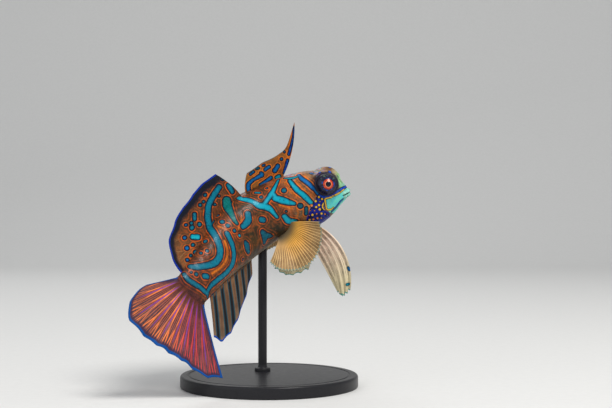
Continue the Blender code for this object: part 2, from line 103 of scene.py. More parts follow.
def blend(first: Array, second: Array, share: Array) -> Array:
    """Mix of two colours or vectors, with one share for each point."""
    share = np.asarray(share)[..., None]
    return first * (1.0 - share) + np.asarray(second) * share


def through(knots: Sequence[float], values: Sequence[float], x: Array) -> Array:
    """Cubic Hermite curve through values at knots, with tangents that never overshoot.

    Each inner tangent is the harmonic mean of the slopes beside it, or 0 where they differ
    in sign.

    Args:
        knots: Rising places of the values.
        values: The values there.
        x: Where to read the curve.

    Returns:
        The curve at x.
    """
    k = np.asarray(knots, float)
    y = np.asarray(values, float)
    slope = np.diff(y) / np.diff(k)
    same_way = slope[1:] * slope[:-1] > 0.0
    total = np.where(same_way, slope[1:] + slope[:-1], 1.0)
    inner = np.where(same_way, 2.0 * slope[1:] * slope[:-1] / total, 0.0)
    tangent = np.concatenate([slope[:1], inner, slope[-1:]])
    x = np.clip(np.asarray(x, float), k[0], k[-1])
    i = np.clip(np.searchsorted(k, x, side="right") - 1, 0, len(k) - 2)
    width = k[i + 1] - k[i]
    t = (x - k[i]) / width
    return (
        y[i] * (1.0 + 2.0 * t) * (1.0 - t) ** 2
        + width * tangent[i] * t * (1.0 - t) ** 2
        + y[i + 1] * t * t * (3.0 - 2.0 * t)
        + width * tangent[i + 1] * t * t * (t - 1.0)
    )


def spread(values: Sequence[float], share: Array) -> Array:
    """Curve through values that are spread evenly over the shares 0 to 1."""
    return through(np.linspace(0.0, 1.0, len(values)), values, share)


def resample(path: Array, steps: int) -> Array:
    """Catmull-Rom curve through the rows of a path.

    Between b and c, with a before and d after them, the point at share t is half of
    2b + (c - a)t + (2a - 5b + 4c - d)t^2 + (3b - a - 3c + d)t^3.

    Args:
        path: Places to pass, (n, k).
        steps: Number of steps from one row to the next.

    Returns:
        The curve's points; one or two rows stay as they are.
    """
    if len(path) < 3:
        return path
    ends = np.vstack([2.0 * path[0] - path[1], path, 2.0 * path[-1] - path[-2]])
    t = np.linspace(0.0, 1.0, steps, endpoint=False)[None, :, None]
    a, b, c, d = (ends[k : k + len(path) - 1][:, None, :] for k in range(4))
    curve = 0.5 * (
        2.0 * b + (c - a) * t + (2.0 * a - 5.0 * b + 4.0 * c - d) * t**2
        + (3.0 * b - a - 3.0 * c + d) * t**3
    )
    return np.vstack([curve.reshape(-1, path.shape[1]), path[-1:]])


def spaced(count: int, knots: Sequence[float], density: Sequence[float]) -> Array:
    """Places from the first knot to the last, closer where the density is higher.

    The places are read off where the running integral of the density passes equal shares.

    Args:
        count: Number of places.
        knots: Rising places at which the density is given.
        density: How close the places stand there.

    Returns:
        The rising places.
    """
    fine = np.linspace(knots[0], knots[-1], 4001)
    rho = np.interp(fine, knots, density)
    total = np.concatenate([[0.0], np.cumsum(0.5 * (rho[1:] + rho[:-1]))])
    return np.interp(np.linspace(0.0, total[-1], count), total, fine)


def add_object(name: str, data: bpy.types.ID) -> Piece:
    """A new object of the scene."""
    holder = bpy.data.objects.new(name, data)
    bpy.context.scene.collection.objects.link(holder)
    return holder


def make_piece(name: str, points: Array, quads: Array, tris: Array) -> Piece:
    """A closed, smooth object from arrays, with its faces turned outward.

    The sign of the volume, the sum of a . (b x c), tells which way round the faces run.

    Args:
        name: Name of the piece.
        points: Places of the vertices, (n, 3).
        quads: Faces of four vertices, (m, 4).
        tris: Faces of three vertices, (k, 3).

    Returns:
        The new object, at the origin.
    """
    a, b, c = (points[tris[:, k]] for k in range(3))
    volume = np.sum(a * np.cross(b, c))
    a, b, c, d = (points[quads[:, k]] for k in range(4))
    volume += np.sum(a * np.cross(b, c)) + np.sum(a * np.cross(c, d))
    if volume < 0.0:
        quads, tris = quads[:, ::-1], tris[:, ::-1]
    mesh = bpy.data.meshes.new(name)
    mesh.from_pydata(points, [], quads.tolist() + tris.tolist())
    mesh.validate()
    mesh.shade_smooth()
    return add_object(name, mesh)


def tell(piece: Piece, name: str, values: Array) -> None:
    """Store one number or one colour for each vertex, for the material to read.

    Args:
        piece: The object.
        name: Name of the attribute.
        values: Numbers, (n,), or colours, (n, 3).
    """
    if values.ndim == 2:
        layer = piece.data.attributes.new(name, "FLOAT_COLOR", "POINT")
        rgba = np.ones((len(values), 4), np.float32)
        rgba[:, :3] = values
        layer.data.foreach_set("color", rgba.ravel())
    else:
        layer = piece.data.attributes.new(name, "FLOAT", "POINT")
        layer.data.foreach_set("value", values.astype(np.float32))


def tube_faces(rings: int, around: int) -> tuple[Array, Array]:
    """Faces of a tube that is closed by a fan at each end.

    Args:
        rings: Number of rings along the tube.
        around: Vertices in a ring.

    Returns:
        Quads between the rings, and triangles to two vertices after them.
    """
    i, j = np.meshgrid(np.arange(rings - 1), np.arange(around), indexing="ij")
    k = (j + 1) % around
    corners = [i * around + j, i * around + k, (i + 1) * around + k, (i + 1) * around + j]
    quads = np.stack(corners, -1)
    j = np.arange(around)
    k = (j + 1) % around
    last = (rings - 1) * around
    start = np.stack([k, j, np.full_like(j, rings * around)], -1)
    end = np.stack([last + j, last + k, np.full_like(j, rings * around + 1)], -1)
    return quads.reshape(-1, 4), np.vstack([start, end])


def with_ends(rings: Array) -> Array:
    """The values of rings in a row, followed by the mean of the first and the last ring."""
    ends = np.stack([rings[0].mean(axis=0), rings[-1].mean(axis=0)])
    return np.concatenate([rings.reshape(-1, *rings.shape[2:]), ends])


def sheet_faces(columns: int, rows: int) -> tuple[Array, Array]:
    """Faces of a closed sheet: its two faces and the wall round them.

    Args:
        columns: Vertices across one face.
        rows: Vertices along it.

    Returns:
        Quads, with the second face's vertices after the first's, and no triangles.
    """
    i, j = np.meshgrid(np.arange(columns - 1), np.arange(rows - 1), indexing="ij")
    a = (i * rows + j).ravel()
    top = np.stack([a, a + rows, a + rows + 1, a + 1], -1)
    under = columns * rows
    rim = np.concatenate([
        np.arange(columns) * rows,
        (columns - 1) * rows + np.arange(1, rows),
        np.arange(columns - 2, -1, -1) * rows + rows - 1,
        np.arange(rows - 2, 0, -1),
    ])
    following = np.roll(rim, -1)
    wall = np.stack([rim, under + rim, under + following, following], -1)
    return np.vstack([top, under + top[:, ::-1], wall]), np.zeros((0, 3), int)


@dataclass(frozen=True)
class Viewpoint:
    """The level camera that looks along +Y, and the picture it takes."""

    place: Triple = (9.1 * MM, -301.0 * MM, 45.1 * MM)
    focal: float = 1215.0
    width: float = 612.0
    height: float = 408.0
    sensor: float = 36.0
    clip: Pair = (10.0 * MM, 10.0)

    def project(self, points: Array) -> Array:
        """Pixels of points: the middle plus the focal length times the offset over depth.

        Args:
            points: Places, (..., 3).

        Returns:
            Pixels across and down, (..., 2).
        """
        offset = points - np.array(self.place)
        scale = self.focal / offset[..., 1]
        across = 0.5 * self.width + offset[..., 0] * scale
        down = 0.5 * self.height - offset[..., 2] * scale
        return np.stack([across, down], -1)

    def pixel(self, points: Array) -> Array:
        """Size of a pixel at points, in millimetres."""
        return (points[..., 1] - self.place[1]) / self.focal / MM

    def make(self) -> None:
        """Put the camera into the scene."""
        camera = bpy.data.cameras.new("camera")
        camera.sensor_width = self.sensor
        camera.lens = self.sensor * self.focal / self.width
        camera.clip_start, camera.clip_end = self.clip
        holder = add_object("camera", camera)
        holder.location = self.place
        holder.rotation_euler = (math.radians(90.0), 0.0, 0.0)
        bpy.context.scene.camera = holder


VIEW = Viewpoint()


@dataclass(frozen=True)
class Bearing:
    """An angle along the body in degrees: its value at the mouth, and turns further on.

    A turn holds the degrees that it adds, and the stations where it starts and ends.
    """

    head: float
    turns: tuple[Triple, ...]

    def at(self, s: Array) -> Array:
        """The angle in radians: the head's value plus each turn's eased share of degrees."""
        angle = self.head
        for more, start, end in self.turns:
            angle = angle + more * ease(s, start, end)
        return np.radians(angle)


@dataclass
class Backbone:
    """The line that the body is built on, and the directions across it.

    Its points are the running sum of steps along a direction that turns by eased angles.
    """

    length: float = 55.5 * MM
    mouth: Triple = (20.0 * MM, 5.0 * MM, 48.2 * MM)
    reach: Pair = (-0.1, 1.4)
    steps: int = 480
    droop: Bearing = Bearing(8.0, ((46.0, 0.09, 0.76),))
    swing: Bearing = Bearing(-3.0, ((51.5, 0.22, 0.66), (-3.5, 0.75, 1.0), (-19.0, 0.97, 1.15)))
    tilt: Bearing = Bearing(7.0, ((37.0, 0.12, 0.95),))
    lean: Bearing = Bearing(12.0, ((6.0, 0.2, 0.7),))
    grid: Array = field(init=False)
    points: Array = field(init=False)

    def __post_init__(self) -> None:
        """Sum up the line over its whole reach."""
        self.grid = np.linspace(*self.reach, self.steps + 1)
        middle = 0.5 * (self.grid[1:] + self.grid[:-1])
        step = (self.grid[1] - self.grid[0]) * self.length
        points = np.vstack([np.zeros(3), np.cumsum(-self.forward(middle) * step, axis=0)])
        start = [np.interp(0.0, self.grid, points[:, k]) for k in range(3)]
        self.points = points - start + np.array(self.mouth)

    def forward(self, s: Array) -> Array:
        """Unit directions towards the head: the cosine and sine of droop and swing."""
        droop, swing = self.droop.at(s), self.swing.at(s)
        level = np.cos(swing)
        return np.stack([np.cos(droop) * level, np.sin(swing), np.sin(droop) * level], -1)

    def frame(self, s: Array) -> tuple[Array, Array, Array, Array]:
        """The line's place and directions, with the back tipped by tilt and lean.

        Args:
            s: Stations.

        Returns:
            Centre, forward, right and dorsal directions, each (..., 3).
        """
        s = np.asarray(s, float)
        centre = np.stack([np.interp(s, self.grid, self.points[:, k]) for k in range(3)], -1)
        forward = self.forward(s)
        tilt, lean = self.tilt.at(s), self.lean.at(s)
        dorsal = np.stack([-np.sin(tilt), -np.tan(lean), np.cos(tilt)], -1)
        dorsal = unit(dorsal - np.sum(dorsal * forward, -1, keepdims=True) * forward)
        return centre, forward, np.cross(forward, dorsal), dorsal

    def place(self, s: Array, side: Array, height: Array) -> Array:
        """Points that lie some metres to the right of the line and above it."""
        centre, _, right, dorsal = self.frame(s)
        side = np.asarray(side, float)[..., None]
        height = np.asarray(height, float)[..., None]
        return centre + right * side + dorsal * height


SPINE = Backbone()


@dataclass(frozen=True)
class Body:
    """The smooth form of head, torso and tail, before any relief.

    A section holds its station, the height above the backbone, the depth below it and the
    half width, in body lengths.
    """

    sections: tuple[Row, ...] = (
        (0.0, 0.013, 0.015, 0.022), (0.015, 0.034, 0.026, 0.034), (0.045, 0.072, 0.05, 0.05),
        (0.075, 0.098, 0.08, 0.063), (0.11, 0.112, 0.106, 0.076), (0.16, 0.119, 0.129, 0.09),
        (0.22, 0.122, 0.137, 0.099), (0.3, 0.122, 0.134, 0.104), (0.4, 0.125, 0.138, 0.103),
        (0.5, 0.129, 0.143, 0.097), (0.6, 0.128, 0.136, 0.086), (0.72, 0.11, 0.116, 0.065),
        (0.85, 0.088, 0.096, 0.045), (1.0, 0.079, 0.083, 0.026),
    )
    fullness: float = 0.93
    nose: float = 0.012
    brow_radius: float = 3.55 * MM
    brow_blend: float = 1.0 * MM
    brow_start: Pair = (-0.004, 0.035)
    eye_station: float = 0.098
    eye_side: float = 0.063
    eye_height: float = 0.058
    eye_up: float = math.radians(20.0)
    eye_ahead: float = 0.14
    tail_station: float = 1.12
    tail_fan: Row = (31.0, 27.0, 18.0, 5.0, -5.0, -14.5, -24.0, -33.0, -43.0, -54.0)
    flesh_length: float = 1.8 * MM
    flesh_thinning: float = 0.92
    flesh_power: float = 1.4
    flesh_shrink: float = 0.12

    def section(self, s: Array) -> list[Array]:
        """Top, bottom and half width in metres, closed to a round nose by sqrt(t (2 - t))."""
        knots = [row[0] for row in self.sections]
        t = np.clip(np.asarray(s, float) / self.nose, 0.0, 1.0)
        close = np.sqrt(np.maximum(t * (2.0 - t), 0.0)) * SPINE.length
        return [close * through(knots, [row[k] for row in self.sections], s) for k in (1, 2, 3)]

    def eye_centre(self, hand: Hand) -> Array:
        """Centre of an eyeball."""
        size = SPINE.length
        return SPINE.place(self.eye_station, hand * self.eye_side * size, self.eye_height * size)

    def eye_axis(self, hand: Hand) -> Array:
        """Unit direction that an eye looks in: out, a little up and a little ahead."""
        _, forward, right, dorsal = SPINE.frame(self.eye_station)
        out = hand * math.cos(self.eye_up) * right + math.sin(self.eye_up) * dorsal
        return unit(out + self.eye_ahead * forward)

    def oval(self, s: Array, angle: Array) -> tuple[Array, Array]:
        """Side and height of a section's superellipse, |cos| and |sin| to the fullness."""
        top, bottom, half_width = self.section(s)
        up, out = np.cos(angle), np.sin(angle)
        height = np.sign(up) * np.abs(up) ** self.fullness * np.where(up > 0.0, top, bottom)
        return np.sign(out) * np.abs(out) ** self.fullness * half_width, height

    def surface(self, s: Array, angle: Array) -> Array:
        """Points of the skin.

        Each ray from the backbone ends on the section's oval, or on the ball of a brow
        where that reaches farther: r = (a + b + sqrt((a - b)^2 + c^2)) / 2, with a c that
        falls to nothing at the tip of the nose.

        Args:
            s: Stations.
            angle: Angles from the midline of the back, to the right.

        Returns:
            Points, with the shape of s and angle broadcast together.
        """
        s, angle = np.broadcast_arrays(np.asarray(s, float), np.asarray(angle, float))
        side, height = self.oval(s, angle)
        centre = SPINE.frame(s)[0]
        outward = SPINE.place(s, side, height) - centre
        radius = np.linalg.norm(outward, axis=-1)
        direction = outward / np.maximum(radius, 1e-9)[..., None]
        blur = self.brow_blend * ease(s, *self.brow_start)
        for hand in Hand:
            to_ball = self.eye_centre(hand) - centre
            along = np.sum(direction * to_ball, axis=-1)
            inside = along**2 - np.sum(to_ball**2, axis=-1) + self.brow_radius**2
            reach = along + np.sign(inside) * np.sqrt(np.abs(inside))
            apart = np.sqrt((radius - reach) ** 2 + blur**2)
            radius = 0.5 * (radius + reach + apart)
        return centre + direction * radius[..., None]

    def flesh(self, beyond: Array, angle: Array) -> Array:
        """Points of the flesh that thins out over the root of the tail fin.

        The last oval is carried along the tail's rays, drawn in by a power of the way.

        Args:
            beyond: Distances past the last station, in metres.
            angle: Angles from the midline of the back.

        Returns:
            Points, with the shape of beyond and angle broadcast together.
        """
        beyond, angle = np.broadcast_arrays(np.asarray(beyond, float), np.asarray(angle, float))
        one = np.ones_like(beyond)
        side, height = self.oval(one, angle)
        top, bottom, _ = self.section(one)
        t = beyond / self.flesh_length
        thin = 1.0 - self.flesh_thinning * t**self.flesh_power
        root = SPINE.place(one, side * thin, height * (1.0 - self.flesh_shrink * t))
        _, forward, _, dorsal = SPINE.frame(np.full_like(t, self.tail_station))
        turn = np.radians(spread(self.tail_fan, (top - height) / (top + bottom)))[..., None]
        ray = unit(-np.cos(turn) * forward + np.sin(turn) * dorsal)
        return root + ray * beyond[..., None]


BODY = Body()


class Tone(Enum):
    """Colours of the markings and of the ground, as linear red, green and blue."""

    # The markings' own turquoise, drawn lighter on the front and the top of the head as painted light,
    # where more light falls.
    LIT_TEAL = (0.0, 0.29, 0.4)
    BRIGHT = (0.004, 0.36, 0.46)
    TEAL = (0.0, 0.125, 0.195)
    DEEP = (0.0, 0.07, 0.115)
    SEA = (0.001, 0.125, 0.11)
    AZURE = (0.0, 0.1, 0.37)
    ROYAL = (0.0, 0.025, 0.42)
    GOLD = (0.86, 0.47, 0.005)
    AMBER = (0.78, 0.2, 0.006)
    OLIVE = (0.036, 0.029, 0.011)
    RUST = (0.09, 0.03, 0.01)
    SALMON = (0.36, 0.105, 0.032)
    PALE_OLIVE = (0.17, 0.17, 0.1)
    TAN = (0.27, 0.145, 0.06)
    # Painted shade: the shade round the eye and the breast fin's shadow on the throat.
    PAINTED_SHADE = (0.022, 0.012, 0.024)
    LIME = (0.33, 0.78, 0.34)
    LIP = (0.24, 0.58, 0.48)
    MINT = (0.13, 0.62, 0.46)
    CREAM = (0.36, 0.28, 0.17)
    MAROON = (0.12, 0.03, 0.025)


@dataclass(frozen=True)
class Mark:
    """A line or a dot: its tone, and pixel across, pixel down and half width on the way."""

    tone: Tone
    path: tuple[Triple, ...]

    def curve(self) -> Array:
        """The smooth path through the given places, with its half widths."""
        return resample(np.array(self.path, float), 4)


def dots(tone: Tone, *places: Triple) -> tuple[Mark, ...]:
    """Round dots of one tone."""
    return tuple(Mark(tone, (place,)) for place in places)


def strokes(tone: Tone, *paths: tuple[Triple, ...]) -> tuple[Mark, ...]:
    """Lines of one tone."""
    return tuple(Mark(tone, path) for path in paths)


@dataclass(frozen=True)
class Tint:
    """A soft spot of the ground: its tone, pixel across, pixel down and radius in pixels."""

    tone: Tone
    across: float
    down: float
    radius: float
    strength: float = 0.85

    def share(self, pixels: Array, power: float) -> Array:
        """The strength times exp(-(distance / radius)^power) at pixels."""
        away = np.hypot(pixels[..., 0] - self.across, pixels[..., 1] - self.down)
        return self.strength * np.exp(-((away / self.radius) ** power))


def chain_distance(points: Array, path: Array, radii: Array) -> Array:
    """Distance from points to a chain of round-ended lengths, less its changing half width.

    For each length the nearest share is t = clip((p - a) . (b - a) / |b - a|^2, 0, 1), and
    the distance is |p - a - t (b - a)| - r(t).

    Args:
        points: Where to measure, (n, d).
        path: Places along the chain, (m, d).
        radii: Half widths there.

    Returns:
        The least distance for each point, negative inside.
    """
    best = np.full(len(points), 1e3)
    if len(path) == 1:
        return np.linalg.norm(points - path[0], axis=1) - radii[0]
    for a, b, r, q in zip(path[:-1], path[1:], radii[:-1], radii[1:]):
        step = b - a
        t = np.clip((points - a) @ step / max(step @ step, 1e-12), 0.0, 1.0)
        far = np.linalg.norm(points - a - t[:, None] * step, axis=1) - (r + (q - r) * t)
        best = np.minimum(best, far)
    return best


def nearest_mark(
    points: Array, marks: Sequence[Mark], lay: Callable[[Array], Array], scale: float
) -> tuple[Array, Array]:
    """Distance to the nearest marking, and that marking's tone.

    Args:
        points: Where to measure, (n, d), in millimetres.
        marks: The markings.
        lay: Turns pixels into places of the same kind as points.
        scale: Millimetres in a pixel, for the half widths.

    Returns:
        Distances in millimetres, and colours, (n, 3).
    """
    margin = 2.5
    best = np.full(len(points), OUT_OF_REACH)
    tone = np.tile(np.array(marks[0].tone.value), (len(points), 1))
    for mark in marks:
        curve = mark.curve()
        path = lay(curve[:, :2])
        reach = margin + scale * curve[:, 2].max()
        low, high = path.min(axis=0) - reach, path.max(axis=0) + reach
        near = np.all((points > low) & (points < high), axis=1)
        found = np.full(len(points), OUT_OF_REACH)
        found[near] = chain_distance(points[near], path, scale * curve[:, 2])
        closer = found < best
        best[closer] = found[closer]
        tone[closer] = mark.tone.value
    return best, tone


def patch_distance(pixels: Array, corners: Sequence[Pair]) -> Array:
    """Signed distance in pixels to a patch with a rounded outline.

    A point is inside where a level line from it crosses the closed Catmull-Rom curve
    through the corners an odd number of times.

    Args:
        pixels: Where to measure, (n, 2).
        corners: The patch's corners in order.

    Returns:
        Distances, negative inside.
    """
    steps = 5
    loop = np.array(corners + corners[:3], float)
    loop = resample(loop, steps)[steps : steps + steps * len(corners) + 1]
    far = chain_distance(pixels, loop, np.zeros(len(loop)))
    inside = np.zeros(len(pixels), bool)
    for (x0, y0), (x1, y1) in zip(loop[:-1], loop[1:]):
        spans = (pixels[:, 1] > y0) != (pixels[:, 1] > y1)
        rise = y1 - y0 if abs(y1 - y0) > 1e-9 else 1e-9
        inside ^= spans & (pixels[:, 0] < x0 + (pixels[:, 1] - y0) * (x1 - x0) / rise)
    return np.where(inside, -far, far)


BODY_MARKS = {
    "long band": Mark(Tone.TEAL, (
        (208.6, 221.0, 2.9), (209.6, 227.5, 3.1), (213.5, 233.0, 3.3), (217.2, 239.4, 3.3),
        (219.9, 247.2, 3.5), (220.3, 253.5, 3.5), (218.0, 259.6, 3.4), (213.0, 263.8, 3.3),
        (205.0, 265.9, 3.1), (197.0, 267.0, 2.9), (190.5, 266.4, 2.5))),
    "second band": Mark(Tone.TEAL, (
        (227.3, 233.6, 2.7), (229.6, 238.5, 2.8), (232.4, 245.0, 2.8), (233.9, 252.0, 2.8),
        (233.8, 259.5, 2.8), (231.6, 266.0, 2.8), (226.2, 273.0, 2.7), (218.5, 279.3, 2.5),
        (212.0, 284.8, 2.3), (208.0, 291.0, 1.8), (207.6, 297.5, 1.1))),
    "tail arm": Mark(Tone.TEAL, (
        (184.0, 274.2, 2.0), (188.8, 280.0, 2.4), (195.0, 284.0, 2.4), (201.3, 288.3, 2.3),
        (206.6, 293.2, 2.0))),
    "anal fleck": Mark(Tone.AZURE, ((215.6, 294.8, 1.2), (212.8, 298.6, 1.2))),
    "tail spot": Mark(Tone.TEAL, ((204.4, 276.2, 2.6), (206.8, 276.4, 2.6))),
    "club": Mark(Tone.SEA, (
        (226.6, 201.5, 3.8), (227.0, 205.0, 4.3), (228.9, 209.6, 3.6), (231.7, 215.0, 2.7),
        (234.8, 221.0, 1.9), (236.9, 223.6, 1.4))),
    "saddle band": Mark(Tone.LIT_TEAL, (
        (236.5, 196.4, 2.0), (241.0, 198.8, 2.8), (246.7, 199.8, 2.9), (253.0, 201.7, 2.5),
        (258.3, 205.2, 3.2), (264.4, 206.5, 3.2), (269.8, 208.8, 2.8), (273.2, 212.6, 2.2),
        (277.4, 217.6, 1.2))),
    "fork": Mark(Tone.LIT_TEAL, (
        (278.2, 180.2, 1.4), (276.3, 184.2, 1.6), (274.0, 189.0, 2.0), (271.2, 194.0, 2.4),
        (267.6, 199.4, 2.1), (264.6, 203.6, 2.1))),
    "fork link": Mark(Tone.LIT_TEAL, ((272.4, 192.8, 1.9), (276.0, 197.6, 2.3))),
    "bar": Mark(Tone.LIT_TEAL, (
        (275.6, 198.4, 3.1), (282.0, 200.2, 3.4), (288.6, 202.3, 2.8), (294.2, 203.6, 1.6))),
    "kidney": Mark(Tone.TEAL, (
        (247.8, 214.2, 3.2), (248.4, 219.2, 3.6), (246.0, 223.6, 3.4), (242.8, 226.6, 2.7))),
    "flank dot": Mark(Tone.TEAL, ((261.4, 219.6, 2.8), (263.2, 219.8, 2.8))),
    "wedge": Mark(Tone.DEEP, ((262.0, 231.6, 1.9), (264.8, 236.4, 3.6), (264.4, 242.2, 2.0))),
    "wedge arm": Mark(Tone.DEEP, ((265.0, 235.8, 3.2), (269.0, 236.0, 2.4), (272.0, 236.2, 1.1))),
    "teardrop": Mark(Tone.DEEP, ((245.4, 242.2, 1.8), (247.2, 246.6, 3.5), (248.6, 251.8, 2.2))),
    "saddle fleck": Mark(Tone.LIT_TEAL, ((255.6, 192.6, 1.2), (259.6, 192.8, 1.2))),
    "gill patch": Mark(Tone.LIT_TEAL, ((284.6, 216.6, 2.6), (288.6, 221.0, 3.1), (295.6, 221.2, 2.3))),
    "gill bar": Mark(Tone.DEEP, ((306.4, 208.2, 1.5), (306.2, 213.8, 1.4))),
    "cheek band": Mark(Tone.LIT_TEAL, (
        (289.6, 180.6, 1.8), (293.6, 185.8, 2.5), (297.9, 190.7, 2.6), (302.9, 194.6, 2.6),
        (307.2, 198.8, 2.7), (311.0, 202.6, 2.2))),
    "nape line": Mark(Tone.BRIGHT, ((284.6, 178.2, 1.1), (291.0, 178.2, 1.4), (297.2, 176.8, 1.1))),
    "brow band": Mark(Tone.AZURE, (
        (298.4, 174.8, 1.4), (302.0, 178.8, 2.0), (306.4, 182.2, 2.1), (310.7, 185.8, 2.0),
        (314.3, 189.4, 1.8), (317.2, 193.2, 1.8), (319.8, 196.4, 1.5))),
}
BODY_DOTS = (
    *dots(
        Tone.TEAL, (196.3, 274.4, 1.8), (191.2, 272.4, 1.0), (283.9, 190.4, 2.4),
        (222.2, 221.7, 2.3), (227.8, 225.6, 2.1), (234.4, 230.6, 1.6), (205.2, 241.4, 1.9),
        (207.2, 250.8, 1.6), (200.8, 253.0, 1.5), (261.1, 197.0, 1.5)),
    *dots(Tone.DEEP, (217.8, 215.6, 1.6), (242.8, 259.4, 1.1), (300.4, 205.8, 2.6)),
    *dots(Tone.BRIGHT, (239.4, 235.6, 1.4), (286.2, 211.4, 0.9)),
    *dots(Tone.LIT_TEAL, (266.8, 188.2, 1.0)),
)

STROKES = strokes(
    Tone.AMBER,
    ((295.6, 180.4, 0.7), (299.6, 185.2, 0.8), (304.2, 189.6, 0.8), (309.0, 193.2, 0.7),
     (314.6, 196.8, 0.6)),
    ((285.2, 182.4, 0.6), (287.6, 187.2, 0.7), (291.2, 191.8, 0.8), (296.4, 196.2, 0.7)),
    ((304.6, 176.0, 0.5), (308.6, 179.8, 0.6), (313.2, 183.2, 0.5)),
    ((279.6, 205.0, 0.6), (286.0, 207.0, 0.6), (292.0, 208.6, 0.5)),
    ((297.2, 209.0, 0.6), (298.2, 213.6, 0.7), (296.8, 217.2, 0.5)),
    ((303.2, 204.2, 0.6), (303.6, 209.6, 0.7), (303.4, 216.2, 0.6)),
    ((308.6, 206.2, 0.5), (309.2, 211.6, 0.6), (308.4, 217.0, 0.5)),
    ((230.6, 233.2, 0.6), (225.2, 229.2, 0.6), (218.6, 226.2, 0.6)),
    ((224.6, 241.0, 0.7), (227.4, 250.0, 0.8), (226.4, 259.0, 0.8), (221.0, 267.0, 0.7),
     (212.0, 273.6, 0.6)),
    ((241.4, 216.0, 0.6), (241.0, 221.4, 0.6), (238.4, 229.4, 0.6)),
    ((295.2, 180.2, 0.7), (299.7, 184.9, 0.9), (304.2, 190.2, 0.7)),
    ((300.4, 178.4, 0.5), (305.0, 183.2, 0.6), (309.8, 188.6, 0.5)),
    ((312.4, 192.8, 0.9), (315.2, 194.6, 0.9)),
)
BROW_MARKS = {
    "snout line": Mark(Tone.ROYAL, ((343.6, 187.9, 0.9), (345.8, 186.6, 0.9), (347.4, 185.4, 0.9))),
    "brow fleck": Mark(Tone.AZURE, ((310.6, 173.4, 0.9), (315.0, 173.8, 0.8))),
    "brow dot": Mark(Tone.ROYAL, ((319.8, 172.4, 1.3),)),
    "lower forehead bar": Mark(Tone.ROYAL, ((337.4, 179.2, 1.0), (336.5, 181.6, 0.9))),
    "forehead bar": Mark(Tone.ROYAL, ((329.5, 170.8, 1.3), (330.2, 173.8, 1.4), (329.8, 176.0, 0.9))),
    "chin line": Mark(Tone.AZURE, (
        (331.8, 211.6, 0.8), (336.0, 207.2, 0.95), (340.0, 202.2, 0.95), (342.8, 199.4, 0.7))),
}
FACE_MARKS = {
    "eye line": Mark(Tone.ROYAL, (
        (346.2, 186.4, 0.9), (340.7, 189.5, 1.2), (335.2, 192.9, 1.3), (329.4, 195.7, 1.3),
        (323.8, 197.0, 1.3), (319.4, 195.6, 1.1))),
}

GOLD_MARKS = {
    "lip line": Mark(Tone.GOLD, (
        (344.4, 188.9, 0.5), (340.2, 192.3, 0.75), (335.0, 195.3, 0.85), (329.4, 197.8, 0.85),
        (325.2, 199.0, 0.9), (325.6, 203.0, 0.75), (326.2, 206.6, 0.75), (327.2, 209.4, 0.85),
        (330.6, 209.6, 0.75), (333.6, 207.4, 0.45))),
    "cheek arc": Mark(Tone.GOLD, (
        (323.4, 203.0, 0.6), (322.6, 205.6, 0.95), (323.0, 208.2, 0.75), (324.6, 210.0, 0.6))),
}
GOLD_DOTS = (
    *dots(
        Tone.GOLD, (318.9, 197.1, 1.15), (322.1, 199.1, 1.25), (315.7, 201.1, 1.25), (319.1, 205.1, 1.3),
        (316.2, 207.1, 1.2), (319.8, 209.3, 1.35), (312.5, 214.9, 1.2), (309.8, 220.0, 1.2),
        (321.6, 213.6, 1.2)),
    *dots(
        Tone.AMBER, (320.0, 201.6, 0.8), (311.6, 205.4, 1.35), (325.0, 214.2, 0.8), (317.5, 218.4, 1.1),
        (321.3, 218.2, 1.0), (313.4, 219.4, 1.1), (314.6, 210.8, 0.85), (316.7, 213.8, 0.9),
        (310.6, 210.6, 0.75), (309.2, 215.6, 0.75)),
)
CHEEK = (
    (318.6, 195.0), (323.6, 197.1), (325.0, 200.0), (323.9, 205.7), (325.7, 210.7), (329.3, 212.9),
    (329.0, 219.0), (321.0, 227.0), (308.6, 227.3), (306.4, 220.7), (308.6, 213.3), (311.4, 205.3),
    (314.7, 200.0),
)
JAW = (
    (325.9, 199.8), (330.0, 197.9), (335.0, 195.4), (341.1, 191.6), (345.0, 189.8), (350.0, 191.0),
    (350.6, 196.0), (345.6, 201.4), (341.4, 207.6), (333.4, 213.0), (328.0, 210.0),
)
